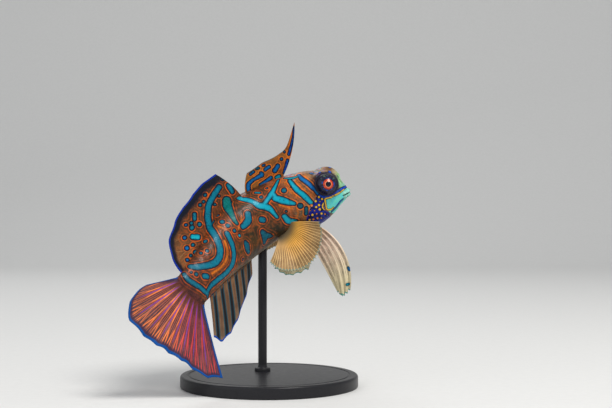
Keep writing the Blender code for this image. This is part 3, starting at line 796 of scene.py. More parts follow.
TINTS = {
    "shoulder salmon": Tint(Tone.SALMON, 298.5, 197.8, 3.4),
    "gill salmon": Tint(Tone.SALMON, 289.0, 211.5, 3.4),
    "gill cover": Tint(Tone.PALE_OLIVE, 300.2, 213.0, 4.4),
    "nape tan": Tint(Tone.TAN, 303.0, 188.5, 4.0),
    "cheek salmon": Tint(Tone.SALMON, 310.5, 194.5, 4.0),
    "shoulder olive": Tint(Tone.OLIVE, 281.0, 194.5, 3.5),
    "brow cream": Tint(Tone.CREAM, 317.0, 169.5, 6.0),
    "brow tan": Tint(Tone.TAN, 325.4, 172.0, 3.0),
    "forehead cream": Tint(Tone.CREAM, 334.6, 175.0, 4.2),
    "snout lime": Tint(Tone.LIME, 341.2, 182.8, 8.2),
    "snout tip": Tint(Tone.LIP, 344.8, 184.8, 3.6),
    "chin teal": Tint(Tone.TEAL, 334.6, 212.6, 4.2),
    # Painted shadow: the base of the breast fin shades the throat here.
    "breast fin shadow on the throat": Tint(Tone.PAINTED_SHADE, 280.4, 230.6, 4.0),
    "throat olive": Tint(Tone.OLIVE, 285.0, 226.0, 3.0),
    "saddle olive": Tint(Tone.OLIVE, 248.0, 206.5, 7.0),
    "flank olive": Tint(Tone.OLIVE, 262.0, 212.5, 5.0),
    "lower flank olive": Tint(Tone.OLIVE, 252.0, 234.0, 9.0),
    "breast olive": Tint(Tone.OLIVE, 277.0, 228.0, 7.0),
    "belly olive": Tint(Tone.OLIVE, 241.0, 250.0, 6.0),
    "rear olive": Tint(Tone.OLIVE, 214.0, 248.0, 5.0),
    "nape salmon": Tint(Tone.SALMON, 289.0, 184.0, 2.6),
    "back salmon": Tint(Tone.SALMON, 270.0, 183.0, 4.0),
}
NAPE_CLOUDS = {
    "behind the brow": Tint(Tone.LIT_TEAL, 290.0, 175.0, 6.5, strength=1.0),
    "above the eye": Tint(Tone.LIT_TEAL, 317.0, 171.0, 7.0, strength=0.55),
}


@dataclass(frozen=True)
class Swell:
    """A rounded rise or hollow: where its middle is, how wide and how tall, in millimetres."""

    middle: float
    width: float
    height: float

    def at(self, distance: Array) -> Array:
        """Height of the bell curve at distances in millimetres."""
        return self.height * hump(distance, self.middle, self.width)


@dataclass(frozen=True)
class Feature:
    """A small round form on each side of the body: its station, its angle and its swells."""

    station: float
    degrees: float
    swells: tuple[Swell, ...]


LIP_SWELLS = {
    "upper lip": Swell(0.42, 0.27, 0.3),
    "lower lip": Swell(-0.46, 0.3, 0.4),
    "line of the mouth": Swell(0.0, 0.085, -0.5),
    "fold above the lip": Swell(1.0, 0.2, -0.06),
    "fold below the lip": Swell(-1.05, 0.2, -0.06),
}
FEATURES = {
    "nostril": Feature(0.036, 46.0, (Swell(0.25, 0.105, 0.15), Swell(0.0, 0.1375, -0.3))),
    "gill pore": Feature(0.25, 50.0, (Swell(0.42, 0.1764, 0.13), Swell(0.0, 0.231, -0.5))),
    "root of the breast fin": Feature(0.352, 130.0, (Swell(0.0, 2.0, 0.45),)),
}
GILL_SWELLS = (Swell(0.0, 0.3, -0.1), Swell(0.6, 0.35, 0.06))


@dataclass
class Sight:
    """The right flank as the camera sees it, and the way from pixels back to its points."""

    points: Array
    middle_ring: int
    middle_columns: tuple[int, int] = (30, 70)
    least_facing: float = 0.08
    least_area: float = 0.02
    pixels: Array = field(init=False)
    facing: Array = field(init=False)

    def __post_init__(self) -> None:
        """Work out the flank's pixels, its steps from vertex to vertex and how it faces."""
        self.pixels = VIEW.project(self.points)
        self.along, self.around = (np.gradient(self.points, axis=k) for k in (0, 1))
        self.down, self.across = (np.gradient(self.pixels, axis=k) for k in (0, 1))
        ray = unit(self.points - np.array(VIEW.place))
        facing = np.sum(unit(np.cross(self.along, self.around)) * ray, axis=-1)
        middle = facing[self.middle_ring, slice(*self.middle_columns)]
        self.facing = facing * np.sign(np.median(middle))
        shows = (self.facing > self.least_facing)[..., None]
        self.seen = np.where(shows, self.pixels, 1e4).reshape(1, -1, 2)

    def settle(self, pixels: Array) -> Array:
        """Points of the flank that the camera sees at pixels.

        From the nearest vertex that faces the camera, the grid's two steps in the picture
        are solved for the rest of the way, and are then taken in space.

        Args:
            pixels: Places in the picture, (n, 2).

        Returns:
            Points in millimetres, (n, 3).
        """
        gap = np.linalg.norm(self.seen - pixels[:, None, :], axis=-1)
        spot = np.unravel_index(np.argmin(gap, axis=1), self.facing.shape)
        a, b, miss = self.down[spot], self.across[spot], pixels - self.pixels[spot]
        area = a[:, 0] * b[:, 1] - a[:, 1] * b[:, 0]
        least = self.least_area * np.sign(area) + (area == 0.0)
        area = np.where(np.abs(area) < self.least_area, least, area)
        step_a = np.clip((miss[:, 0] * b[:, 1] - miss[:, 1] * b[:, 0]) / area, -1.0, 1.0)
        step_b = np.clip((a[:, 0] * miss[:, 1] - a[:, 1] * miss[:, 0]) / area, -1.0, 1.0)
        way = self.along[spot] * step_a[:, None] + self.around[spot] * step_b[:, None]
        return (self.points[spot] + way) / MM


@dataclass
class Skin:
    """The one skin of head, torso and tail, with its relief, lids and markings."""

    rings: int = 416
    nose_rings: int = 36
    nose_share: float = 0.97
    half_around: int = 112
    flesh_rings: int = 14
    nose_blend: float = 0.4
    mouth_drop: float = 0.2
    mouth_corner: Pair = (1.2, 2.0)
    mouth_shade: float = 0.13
    gill_station: float = 0.262
    gill_bow: float = 0.018
    gill_steps: int = 24
    uneven: float = 0.018
    eye_edge: float = 3.06
    lid_degrees: Pair = (58.0, 87.0)
    lid_swell: Swell = Swell(65.0, 3.2, 0.1)
    dive: float = 0.5
    dive_degrees: Pair = (52.0, 61.0)
    eye_reach: float = 6.0 * MM
    # Painted shade round the right eye: its start in degrees from the eye's axis, its widths, the
    # stations over which it widens behind the eye, and where it ends.
    eye_shade_degrees: float = 66.0
    eye_shade_width: Pair = (12.0, 20.0)
    eye_shade_stations: Pair = (0.095, 0.13)
    eye_shade_end: float = 0.3
    tint_end: float = 2.6
    stroke_size: float = 0.24
    stroke_edge: Pair = (-0.1, 0.28)
    lip_ahead: Pair = (-1.9, -0.5)
    lip_corner: Pair = (-2.8, -2.1)
    lip_height: float = 2.4
    corner_height: Pair = (1.0, 1.4)
    hidden_facing: Pair = (-0.04, 0.05)
    hidden_far: float = 3.0
    cheek_end: float = 0.33
    jaw_end: float = 0.2
    jaw_mouth: Pair = (0.8, 1.1)
    bright_stations: Pair = (0.2, 0.34)
    pixel_column: int = 40
    stations: Array = field(init=False)
    angles: Array = field(init=False)

    def __post_init__(self) -> None:
        """Spread the rings and the points of a half ring.

        On the nose the radii grow evenly: the station of a share r of the radius is the
        nose's length times 1 - sqrt(1 - r^2).
        """
        radii = np.linspace(0.0, self.nose_share, self.nose_rings + 1)
        nose = BODY.nose * (1.0 - np.sqrt(1.0 - radii**2))
        knots = (float(nose[-1]), 0.012, 0.03, 0.3, 0.36, 1.0)
        rest = spaced(self.rings - self.nose_rings, knots, (5, 4, 1.9, 1.9, 1, 1))
        self.stations = np.concatenate([nose[:-1], rest])
        turns = (0.0, 1.8, 2.3, math.pi)
        self.angles = spaced(self.half_around + 1, turns, (1.3, 1.3, 0.85, 0.85))

    def base(self) -> Array:
        """Points of all rings before the relief, (rings, around, 3)."""
        angles = np.concatenate([self.angles, -self.angles[-2:0:-1]])[None, :]
        body = BODY.surface(self.stations[:, None], angles)
        beyond = np.linspace(0.0, BODY.flesh_length, self.flesh_rings + 1)[1:, None]
        return np.concatenate([body, BODY.flesh(beyond, angles)])

    def normals(self, points: Array) -> Array:
        """Outward directions: the cross product of the steps along and round the body.

        Args:
            points: The rings' points.

        Returns:
            Unit directions, which turn into the body's own direction at the nose.
        """
        along = np.gradient(points, axis=0)
        around = np.roll(points, -1, axis=1) - np.roll(points, 1, axis=1)
        normal = unit(np.cross(along, around))
        out = points - points.mean(axis=1, keepdims=True)
        normal *= np.sign(np.sum(normal * out, axis=-1).mean())
        nose = SPINE.frame(0.0)[1]
        share = 1.0 - ease(np.arange(len(points)), 1.0, self.nose_blend * self.nose_rings)
        return unit(blend(normal, nose, np.broadcast_to(share[:, None], points.shape[:2])))

    def mouth(self, points: Array) -> tuple[Array, Array, Array]:
        """Where points lie about the line of the mouth, which slopes with the way ahead.

        Args:
            points: Points of the skin.

        Returns:
            Millimetres ahead of the mouth, height above its line, and a share that fades at
            its corners.
        """
        centre, forward, _, dorsal = SPINE.frame(0.0)
        offset = (points - centre) / MM
        ahead = offset @ forward
        height = offset @ dorsal - self.mouth_drop * ahead
        return ahead, height, 1.0 - ease(-ahead, *self.mouth_corner)

    def relief(self, points: Array) -> Array:
        """Millimetres that the skin stands out: lips, mouth, nostrils, pores and folds.

        Everywhere a low uneven swell is added, of the size times
        sin(1.9x + 1.1z) sin(2.3z - 0.7y) + sin(3.1y + 2x) with x, y and z in millimetres.

        Args:
            points: The rings' points.

        Returns:
            Millimetres, one for each point.
        """
        _, height, near = self.mouth(points)
        rise = near * sum(swell.at(height) for swell in LIP_SWELLS.values())
        bow = np.sin(np.linspace(0.5, 2.6, self.gill_steps))
        turn = np.linspace(1.0, 2.35, self.gill_steps)
        for hand in Hand:
            for feature in FEATURES.values():
                centre = BODY.surface(feature.station, hand * math.radians(feature.degrees))
                away = np.linalg.norm(points - centre, axis=-1) / MM
                rise += sum(swell.at(away) for swell in feature.swells)
            gill = BODY.surface(self.gill_station + self.gill_bow * bow, hand * turn)
            away = chain_distance(points.reshape(-1, 3), gill, np.zeros(self.gill_steps))
            rise += sum(swell.at(away / MM) for swell in GILL_SWELLS).reshape(rise.shape)
        x, y, z = (points[..., k] / MM for k in range(3))
        swell = np.sin(1.9 * x + 1.1 * z) * np.sin(2.3 * z - 0.7 * y) + np.sin(3.1 * y + 2.0 * x)
        return rise + self.uneven * swell

    def eye_angle(self, points: Array, hand: Hand) -> tuple[Array, Array]:
        """Angle in degrees from an eye's axis, and distance from its centre, at points."""
        offset = points - BODY.eye_centre(hand)
        far = np.linalg.norm(offset, axis=-1)
        return np.degrees(np.arccos(np.clip(offset @ BODY.eye_axis(hand) / far, -1.0, 1.0))), far

    def open_eyes(self, points: Array) -> Array:
        """Draw the brows down to the rim of each eyeball, with a low lid round it.

        A point's distance from the eye's centre is mixed with that of a profile, which
        dives under the ball inside the lid's angle.

        Args:
            points: The rings' points.

        Returns:
            The points with the eyes open.
        """
        for hand in Hand:
            angle, far = self.eye_angle(points, hand)
            rim = self.eye_edge - self.dive * (1.0 - ease(angle, *self.dive_degrees))
            rim = (rim + self.lid_swell.at(angle)) * MM
            lifted = rim + (far - rim) * ease(angle, *self.lid_degrees)
            target = np.where(far < self.eye_reach, lifted, far)
            centre = BODY.eye_centre(hand)
            points = centre + (points - centre) * (target / far)[..., None]
        return points

    def ground(self, sight: Sight) -> Array:
        """Colours between the markings: soft areas laid over a ground of olive and rust.

        Args:
            sight: The right flank.

        Returns:
            Colours, (rings, columns, 3).
        """
        half = sight.points
        s = np.concatenate([self.stations, np.full(self.flesh_rings, 1.0)])[:, None]
        flesh = np.linspace(0.0, 1.0, self.flesh_rings)
        beyond = np.concatenate([np.zeros(self.rings), flesh])[:, None]
        angle = self.angles[None, :]
        rear = ease(s, 0.3, 0.36) * (1.0 - ease(s, 0.5, 0.72))
        belly = ease(angle, 2.45, 2.95) * (1.0 - ease(s, 0.75, 0.95))
        above = angle < self.tint_end
        layers = [
            (Tone.OLIVE, 0.55 * rear),
            (Tone.SALMON, 0.6 * (1.0 - ease(s, 0.26, 0.4))),
            (Tone.TAN, 0.85 * (1.0 - ease(s, 0.2, 0.32))),
            *((tint.tone, tint.share(sight.pixels, 3.0) * above) for tint in TINTS.values()),
            (Tone.OLIVE, 0.7 * ease(angle, 1.95, 2.35)),
            (Tone.CREAM, 0.8 * belly),
        ]
        colour = self.lay(np.broadcast_to(np.array(Tone.RUST.value), half.shape), layers)

        far, tone = nearest_mark(half.reshape(-1, 3) / MM, STROKES, sight.settle, self.stroke_size)
        share = 0.8 * (1.0 - ease(far, *self.stroke_edge)).reshape(half.shape[:2])
        colour = blend(colour, tone.reshape(half.shape), share)

        # Painted shade darkens the skin round the eye, more widely behind it.
        look, _ = self.eye_angle(half, Hand.RIGHT)
        inner, outer = self.eye_shade_width
        near_eye = (look - self.eye_shade_degrees) / (inner + outer * ease(s, *self.eye_shade_stations))
        eye_shade = 0.95 * (1.0 - ease(near_eye, 0.0, 1.0)) * (s < self.eye_shade_end)
        ahead, height, _ = self.mouth(half)
        height = np.abs(height)
        lips = ease(ahead, *self.lip_ahead) * (height < self.lip_height)
        corners = ease(ahead, *self.lip_corner) * (1.0 - ease(height, *self.corner_height))
        root = ease(beyond, 0.0, 0.5)
        return self.lay(
            colour, [(Tone.PAINTED_SHADE, eye_shade), (Tone.LIP, lips), (Tone.LIP, corners), (Tone.MAROON, root)])

    def lay(self, colour: Array, layers: Sequence[tuple[Tone, Array]]) -> Array:
        """Lay tones over colours one after another, each with its own share."""
        for tone, share in layers:
            share = np.broadcast_to(share, colour.shape[:2])
            colour = blend(colour, np.array(tone.value), share)
        return colour

    def fields(self, sight: Sight) -> dict[str, Array]:
        """Distances to the markings in millimetres with their colours, and shares of patches.

        The markings of body and brow are settled on the flank and measured in space. The
        fine ones of the face, the gold ones and the patches are measured in the picture.
        Where the flank turns away from the camera the drawn markings are out of reach.

        Args:
            sight: The right flank.

        Returns:
            The fields by name, one row for each vertex.
        """
        size = float(VIEW.pixel(sight.points[self.rings // 2, self.pixel_column]))
        flat, pixels = sight.points.reshape(-1, 3) / MM, sight.pixels.reshape(-1, 2)
        drawn, scaled = pixels * size, partial(np.multiply, size)
        hidden = self.hidden_far * (1.0 - ease(sight.facing.ravel(), *self.hidden_facing))
        mark, fill = nearest_mark(flat, [*BODY_MARKS.values(), *BODY_DOTS], sight.settle, size)
        brow, brow_fill = nearest_mark(flat, [*BROW_MARKS.values()], sight.settle, size)
        face, face_fill = nearest_mark(drawn, [*FACE_MARKS.values()], scaled, size)
        gold, gold_fill = nearest_mark(drawn, [*GOLD_MARKS.values(), *GOLD_DOTS], scaled, size)
        face = face + hidden

        stations = np.concatenate([self.stations, np.ones(self.flesh_rings)])
        s = np.repeat(stations, self.half_around + 1)
        cheek = np.where(s < self.cheek_end, patch_distance(pixels, CHEEK) * size, OUT_OF_REACH)
        jaw = np.where(s < self.jaw_end, patch_distance(pixels, JAW) * size, OUT_OF_REACH)
        _, height, near = self.mouth(sight.points)
        lips = near * (1.0 - ease(np.abs(height), *self.jaw_mouth))
        clouds = [cloud.share(pixels, 4.0) for cloud in NAPE_CLOUDS.values()]
        return {
            "mark": mark, "fill": fill, "face": np.minimum(brow, face),
            "face_fill": np.where((brow < face)[:, None], brow_fill, face_fill),
            "gold": gold + hidden, "gold_fill": gold_fill, "cheek": cheek,
            "jaw": jaw + 2.0 * lips.ravel(), "nape": np.max(clouds, axis=0),
            # Painted shade in the groove of the mouth.
            "crease_shade": (near * hump(height, 0.0, self.mouth_shade)).ravel(),
            "look": self.eye_angle(sight.points, Hand.RIGHT)[0].ravel(),
            "bright": 1.0 - ease(s, *self.bright_stations), "ground": self.ground(sight),
        }

    def build(self) -> Piece:
        """Make the skin and write its fields on it, mirrored to the left flank.

        Returns:
            The skin's object, without its material.
        """
        base = self.base()
        points = self.open_eyes(base + self.normals(base) * self.relief(base)[..., None] * MM)
        sight = Sight(points[:, : self.half_around + 1], self.rings // 2)
        piece = make_piece("skin", with_ends(points), *tube_faces(*points.shape[:2]))
        for name, values in self.fields(sight).items():
            colour = (3,) if name in ("fill", "face_fill", "gold_fill", "ground") else ()
            grid = values.reshape(*sight.facing.shape, *colour)
            tell(piece, name, with_ends(np.concatenate([grid, grid[:, -2:0:-1]], axis=1)))
        return piece


@dataclass(frozen=True)
class Dress:
    """Colours of a fin, and its widths in millimetres.

    Colours blend into the low ones from the first ray to the last over low_span, into the
    tip ones towards the free edge, and into the root's within root_share. A ray is
    ray_width plus broad times the gap to the next wide, pair parts its halves, and dull is
    how far membrane clouds it. The margin lines the free edge, with the band inside it;
    first_side and last_side carry both down the sides. Tuples of widths run across the fin.
    """

    membrane: Colour
    ray: Colour
    root: Colour
    low_membrane: Optional[Colour] = None
    low_ray: Optional[Colour] = None
    low_span: Pair = (0.35, 0.95)
    tip_membrane: Optional[Colour] = None
    tip_ray: Optional[Colour] = None
    root_share: float = 0.3
    ray_width: float = 0.16
    broad: float = 0.0
    pair: float = 0.0
    core: Colour = (0.05, 0.02, 0.02)
    core_share: float = 0.0
    ray_edge: Optional[Colour] = None
    dull: float = 0.0
    fibres: float = 8.0
    fibre_share: float = 0.2
    margin: Colour = (0.0, 0.08, 0.45)
    margin_width: Row = (0.45, 0.45)
    band: Colour = (0.003, 0.004, 0.022)
    band_width: Row = (0.0, 0.0)
    first_side: bool = False
    last_side: bool = False
    halo: Colour = (0.5, 0.085, 0.009)
    mark_edge: float = 0.24
    warmth: float = 0.15

    def grounds(self, share: Array, v: Array) -> dict[str, Array]:
        """The colours of membrane and rays.

        Args:
            share: Shares across the fin.
            v: Shares along the rays, (across, along).

        Returns:
            Colours by the name of their field, (across, along, 3).
        """
        low = np.broadcast_to(ease(share, *self.low_span)[:, None], v.shape)
        tip = ease(v, 0.25, 0.95)
        at_root = 1.0 - ease(v, 0.3 * self.root_share, self.root_share)
        found = {}
        for name, first, last, end, root in (
            ("ground", self.membrane, self.low_membrane, self.tip_membrane, at_root),
            ("ray", self.ray, self.low_ray, self.tip_ray, 0.93 * at_root),
        ):
            colour = blend(np.array(first), last or first, low)
            colour = blend(colour, end, tip) if end else colour
            found[name] = blend(colour, self.root, root)
        return found


@dataclass(frozen=True, kw_only=True)
class Fin:
    """A thin fin with rays that branch; each kind of fin gives the roots of its rays.

    Sizes are in millimetres and bends in degrees, and tuples run across the fin. The half
    thickness is membrane plus a ray's ridge plus the flare at the root. Notch and web draw
    the edge in between the rays. From the share split on each ray parts by branch, and
    then by twig, in shares of the gap between two rays.
    """

    name: str
    rays: int
    lengths: Row
    length_knots: Optional[Row] = None
    bend: Row
    dress: Dress
    marks: tuple[Mark, ...] = ()
    per_ray: int = 26
    rows: int = 90
    row_power: float = 0.95
    sink: float = 0.8
    membrane: float = 0.07
    ridge: float = 0.15
    flare: float = 0.12
    thinning: float = 0.45
    notch: float = 0.03
    web: float = 1.2
    branch: float = 0.22
    twig: float = 0.11
    split: float = 0.35
    ruffle: float = 0.0
    waves: float = 4.0
    wave_lag: float = 2.2

    def ray_at(self, share: Array) -> tuple[Array, Array, Array]:
        """Roots, first directions and directions of bending of the rays at shares."""
        raise NotImplementedError

    def length(self, share: Array) -> Array:
        """Lengths of the rays in metres."""
        knots = self.length_knots or np.linspace(0.0, 1.0, len(self.lengths))
        return through(knots, self.lengths, share) * MM

    def sheet(self, share: Array, v: Array) -> tuple[Array, Array]:
        """The fin's middle surface: each ray is an arc of a circle.

        A point is root + first sin(b v) L / b + side (1 - cos(b v)) L / b, with the bend b
        and the length L. A wave moves it off the sheet by ruffle times
        sin(2 pi waves share + lag v), eased in from the root.

        Args:
            share: Shares across the fin.
            v: Shares along the rays, (across, along).

        Returns:
            Points and unit normals, (across, along, 3).
        """
        root, first, bend_to = self.ray_at(share)
        bend = np.radians(spread(self.bend, share))
        bend = np.where(np.abs(bend) < 1e-3, 1e-3, bend)[:, None]
        gap = np.abs(np.sin(math.pi * share * (self.rays - 1)))[:, None]
        drawn_in = 1.0 - self.notch * gap**self.web * ease(v, 0.5, 1.0)
        length = self.length(share)[:, None] * drawn_in
        ahead = (np.sin(bend * v) / bend * length)[..., None]
        aside = ((1.0 - np.cos(bend * v)) / bend * length)[..., None]
        points = root[:, None] + first[:, None] * ahead + bend_to[:, None] * aside
        normal = unit(np.cross(np.gradient(points, axis=0), np.gradient(points, axis=1)))
        wave = np.sin(2.0 * math.pi * self.waves * share[:, None] + self.wave_lag * v)
        return points + normal * (self.ruffle * MM * wave * ease(v, 0.1, 1.0))[..., None], normal

    def rays_on(self, place: Array, v: Array, pitch: Array) -> tuple[Array, Array]:
        """How much of a ray, and of a ray's core, each point has.

        Args:
            place: Places across the fin, counted in rays, (across, 1).
            v: Shares along the rays, (across, along).
            pitch: Millimetres from ray to ray, (across, along).

        Returns:
            Two shares, (across, along).
        """
        off = place - np.rint(place)
        inner = np.clip(v, 0.0, 1.0)
        width = self.dress.ray_width * (1.0 - self.thinning * inner) + self.dress.broad * pitch
        limb = self.dress.pair / pitch + self.branch * ease(v, self.split, 1.0)
        shoot = self.twig * ease(v, 0.5 + 0.5 * self.split, 1.0)
        aims = [side * limb + turn * shoot for side in (-1.0, 1.0) for turn in (-1.0, 1.0)]
        crest = np.max([hump((off - aim) * pitch, 0.0, width) for aim in aims], axis=0)
        core = hump(off * pitch, 0.0, 0.5 * width)
        return crest, core * ease(v, 0.08, 0.2) * (1.0 - ease(v, 0.7, 0.9))

    def build(self) -> Piece:
        """Make the fin and write its fields on it.

        Returns:
            The fin's object, without its material.
        """
        share = np.linspace(0.0, 1.0, (self.rays - 1) * self.per_ray + 1)
        length = self.length(share)[:, None] / MM
        start = -self.sink / length
        rows = np.linspace(0.0, 1.0, self.rows)[None, :] ** self.row_power
        v = start + (1.0 - start) * rows
        sheet, normal = self.sheet(share, v)
        across = np.linalg.norm(np.gradient(sheet, share, axis=0), axis=-1) / MM
        place = share[:, None] * (self.rays - 1)
        crest, core = self.rays_on(place, v, across / (self.rays - 1))
        tall = ease(v, 0.0, 0.25) * (1.0 - 0.7 * np.clip(v, 0.0, 1.0))
        half = (self.membrane + self.ridge * crest * tall) * (1.0 - self.thinning * ease(v, 0.85, 1.0))
        half = half + self.flare * (1.0 - ease(v, -0.02, 0.16))
        offset = normal * (half * MM)[..., None]
        faces = [(sheet + offset).reshape(-1, 3), (sheet - offset).reshape(-1, 3)]
        piece = make_piece(f"{self.name}_fine", np.concatenate(faces), *sheet_faces(*v.shape))

        dress = self.dress
        rim = (1.0 - v) * length
        for carried, way in ((dress.first_side, share), (dress.last_side, 1.0 - share)):
            rim = np.minimum(rim, way[:, None] * across) if carried else rim
        fields = {
            "crest": crest, "core": core * dress.core_share, "reach": v * length, "along": v,
            "lane": np.broadcast_to(place, v.shape), **dress.grounds(share, v),
            "margin": rim / spread(dress.margin_width, share)[:, None],
            "band": rim / np.maximum(spread(dress.band_width, share), 1e-3)[:, None],
        }
        if self.marks:
            size = float(VIEW.pixel(sheet).mean())
            flat = VIEW.project(sheet).reshape(-1, 2) * size
            mark, fill = nearest_mark(flat, self.marks, partial(np.multiply, size), size)
            fields["mark"], fields["fill"] = mark.reshape(v.shape), fill.reshape(*v.shape, 3)
        for name, values in fields.items():
            column = values.reshape(-1, *values.shape[2:])
            tell(piece, name, np.concatenate([column, column]))
        return piece


@dataclass(frozen=True, kw_only=True)
class MidlineFin(Fin):
    """A fin on a midline, from one station of its base to the other."""

    base: Pair
    edge: Edge = Edge.BACK
    tilt: float = 0.0
    lean: Row
    root_gap: float = 0.3

    def ray_at(self, share: Array) -> tuple[Array, Array, Array]:
        """Rays that stand up from the midline and lean back by their own angles."""
        s = self.base[0] + (self.base[1] - self.base[0]) * share
        top, bottom, _ = BODY.section(s)
        height = (top if self.edge is Edge.BACK else bottom) + self.root_gap * MM
        root = SPINE.place(s, 0.0, self.edge * height)
        _, forward, right, dorsal = SPINE.frame(s)
        up = unit(self.edge * dorsal + math.tan(math.radians(self.tilt)) * right)
        lean = np.radians(spread(self.lean, share))[:, None]
        first = unit(np.cos(lean) * up - np.sin(lean) * forward)
        return root, first, unit(-np.sin(lean) * up - np.cos(lean) * forward)


@dataclass(frozen=True, kw_only=True)
class PairedFin(Fin):
    """A fin on a flank; its base runs between two stations with their angles in degrees."""

    base: tuple[Pair, Pair]
    hand: Hand = Hand.RIGHT
    turn: Row
    lift: Row
    root_depth: float = 0.7

    def ray_at(self, share: Array) -> tuple[Array, Array, Array]:
        """Rays that fan out from a slanting base and stand off the flank."""
        (s0, a0), (s1, a1) = self.base
        s = s0 + (s1 - s0) * share
        skin = BODY.surface(s, self.hand * np.radians(a0 + (a1 - a0) * share))
        centre, forward, right, dorsal = SPINE.frame(s)
        root = skin - unit(skin - centre) * self.root_depth * MM
        turn = np.radians(spread(self.turn, share))[:, None]
        lift = np.radians(spread(self.lift, share))[:, None]
        flat = np.cos(turn) * forward - np.sin(turn) * dorsal
        first = unit(np.cos(lift) * flat + np.sin(lift) * self.hand * right)
        bend_to = -np.sin(turn) * forward - np.cos(turn) * dorsal
        return root, first, unit(bend_to - np.sum(bend_to * first, -1, keepdims=True) * first)


@dataclass(frozen=True, kw_only=True)
class TailFin(Fin):
    """The tail fin, fanned out in the midline's plane."""

    root_height: float = 0.93
    root_gap: float = 0.15
    fan: Row = (36.0, 28.5) + BODY.tail_fan[2:]

    def ray_at(self, share: Array) -> tuple[Array, Array, Array]:
        """Rays that fan out from the end of the body."""
        s = np.full_like(share, 1.0 + self.root_gap * MM / SPINE.length)
        top, bottom, _ = BODY.section(np.ones_like(s))
        height = self.root_height * (top - (top + bottom) * share)
        root = SPINE.place(s, 0.0, height)
        _, forward, right, dorsal = SPINE.frame(s + BODY.tail_station - 1.0)
        turn = np.radians(spread(self.fan, share))[:, None]
        return root, unit(-np.cos(turn) * forward + np.sin(turn) * dorsal), -right


FIRST_DORSAL_MARKS = (
    *strokes(
        Tone.AZURE,
        ((248.8, 191.5, 1.8), (248.2, 185.0, 1.9), (251.4, 181.0, 1.5), (257.3, 177.3, 1.5),
         (261.6, 174.8, 2.1), (260.8, 172.8, 1.2)),
        ((260.0, 184.5, 1.1), (265.5, 181.4, 1.4), (270.9, 177.5, 1.5)),
        ((274.8, 170.6, 2.1), (277.8, 165.9, 1.9)), ((265.2, 169.6, 1.3), (268.9, 166.6, 1.4)),
        ((262.9, 165.4, 0.8), (264.2, 164.8, 0.8)), ((250.2, 174.2, 1.1), (253.6, 171.8, 1.1))),
    *strokes(Tone.TEAL, ((256.3, 168.6, 0.8), (258.3, 168.1, 0.8))),
    *dots(Tone.AZURE, (281.5, 159.1, 1.3), (284.3, 151.8, 0.9)),
    *strokes(Tone.LIT_TEAL, ((276.4, 177.4, 1.6), (279.0, 176.2, 1.7))),
    *strokes(
        Tone.ROYAL,
        ((283.9, 172.6, 0.9), (286.0, 166.6, 1.2), (287.5, 160.0, 1.1)),
        ((288.8, 154.2, 1.0), (290.6, 147.4, 0.95), (292.6, 139.5, 0.8), (293.8, 131.0, 0.6),
         (294.2, 126.5, 0.3))),
)
SECOND_DORSAL_MARKS = (
    *strokes(
        Tone.TEAL,
        ((219.0, 187.2, 2.5), (215.2, 192.6, 2.6), (211.2, 199.4, 2.7), (208.4, 206.4, 2.8),
         (207.6, 213.9, 2.9), (208.0, 220.6, 2.9), (209.6, 228.0, 3.0), (212.0, 231.5, 3.2)),
        ((227.8, 185.0, 1.7), (230.6, 188.9, 2.3), (232.2, 191.7, 1.9)),
        ((194.4, 214.5, 1.8), (194.4, 219.0, 1.8))),
    *strokes(
        Tone.SEA, ((226.5, 200.6, 3.9), (227.0, 205.0, 4.2), (229.0, 210.0, 3.5), (232.0, 216.0, 2.6))),
    *strokes(Tone.BRIGHT, ((192.5, 237.0, 2.5), (197.5, 237.2, 2.5))),
    *dots(
        Tone.TEAL, (222.2, 178.9, 1.5), (205.0, 195.0, 1.5), (203.3, 201.7, 1.3), (200.0, 205.0, 1.5),
        (191.1, 223.3, 1.5), (191.7, 227.8, 2.2), (199.2, 224.4, 1.9), (192.8, 245.0, 1.5),
        (195.0, 252.2, 1.9), (200.0, 252.2, 1.4), (205.2, 241.5, 1.9), (207.2, 250.8, 1.6),
        (190.6, 255.6, 1.1), (214.5, 204.5, 1.1), (219.0, 196.0, 0.9)),
    *dots(
        Tone.AZURE, (185.6, 225.0, 1.2), (184.4, 237.8, 1.7), (186.7, 248.3, 2.0), (187.2, 260.0, 1.5)),
)
PELVIC_MARKS = (
    *strokes(Tone.AZURE, ((348.2, 267.6, 1.2), (349.4, 269.6, 1.4))),
    *strokes(Tone.LIT_TEAL, ((347.2, 284.4, 1.4), (349.0, 284.0, 1.2))),
)

SPINY = Dress(
    membrane=(0.4, 0.1, 0.012), ray=(0.44, 0.13, 0.02), root=(0.26, 0.1, 0.022), root_share=0.2,
    low_membrane=(0.22, 0.105, 0.022), low_ray=(0.26, 0.14, 0.04), margin=(0.1, 0.085, 0.075),
    tip_membrane=(0.3, 0.115, 0.02), margin_width=(0.05, 0.12, 0.25, 0.3), ray_width=0.2,
    halo=(0.66, 0.16, 0.015), mark_edge=0.2)
SOFT_BACK = Dress(
    membrane=(0.085, 0.032, 0.012), ray=(0.12, 0.052, 0.02), root=(0.09, 0.03, 0.01),
    low_membrane=(0.22, 0.09, 0.03), low_ray=(0.28, 0.14, 0.055), low_span=(0.55, 1.0),
    margin=(0.002, 0.022, 0.25), margin_width=(0.5, 0.5, 0.45), band=(0.002, 0.006, 0.014),
    band_width=(3.2, 2.6, 1.3), warmth=0.3)
SOFT_BELLY = Dress(
    membrane=(0.008, 0.007, 0.009), ray=(0.17, 0.09, 0.045), root=(0.12, 0.055, 0.026),
    ray_width=0.1, broad=0.24, ray_edge=(0.008, 0.05, 0.07), margin=(0.003, 0.05, 0.3),
    tip_ray=(0.17, 0.105, 0.062), root_share=0.06, core=(0.09, 0.04, 0.022), core_share=0.7,
    warmth=0.0, fibre_share=0.0, dull=0.35)
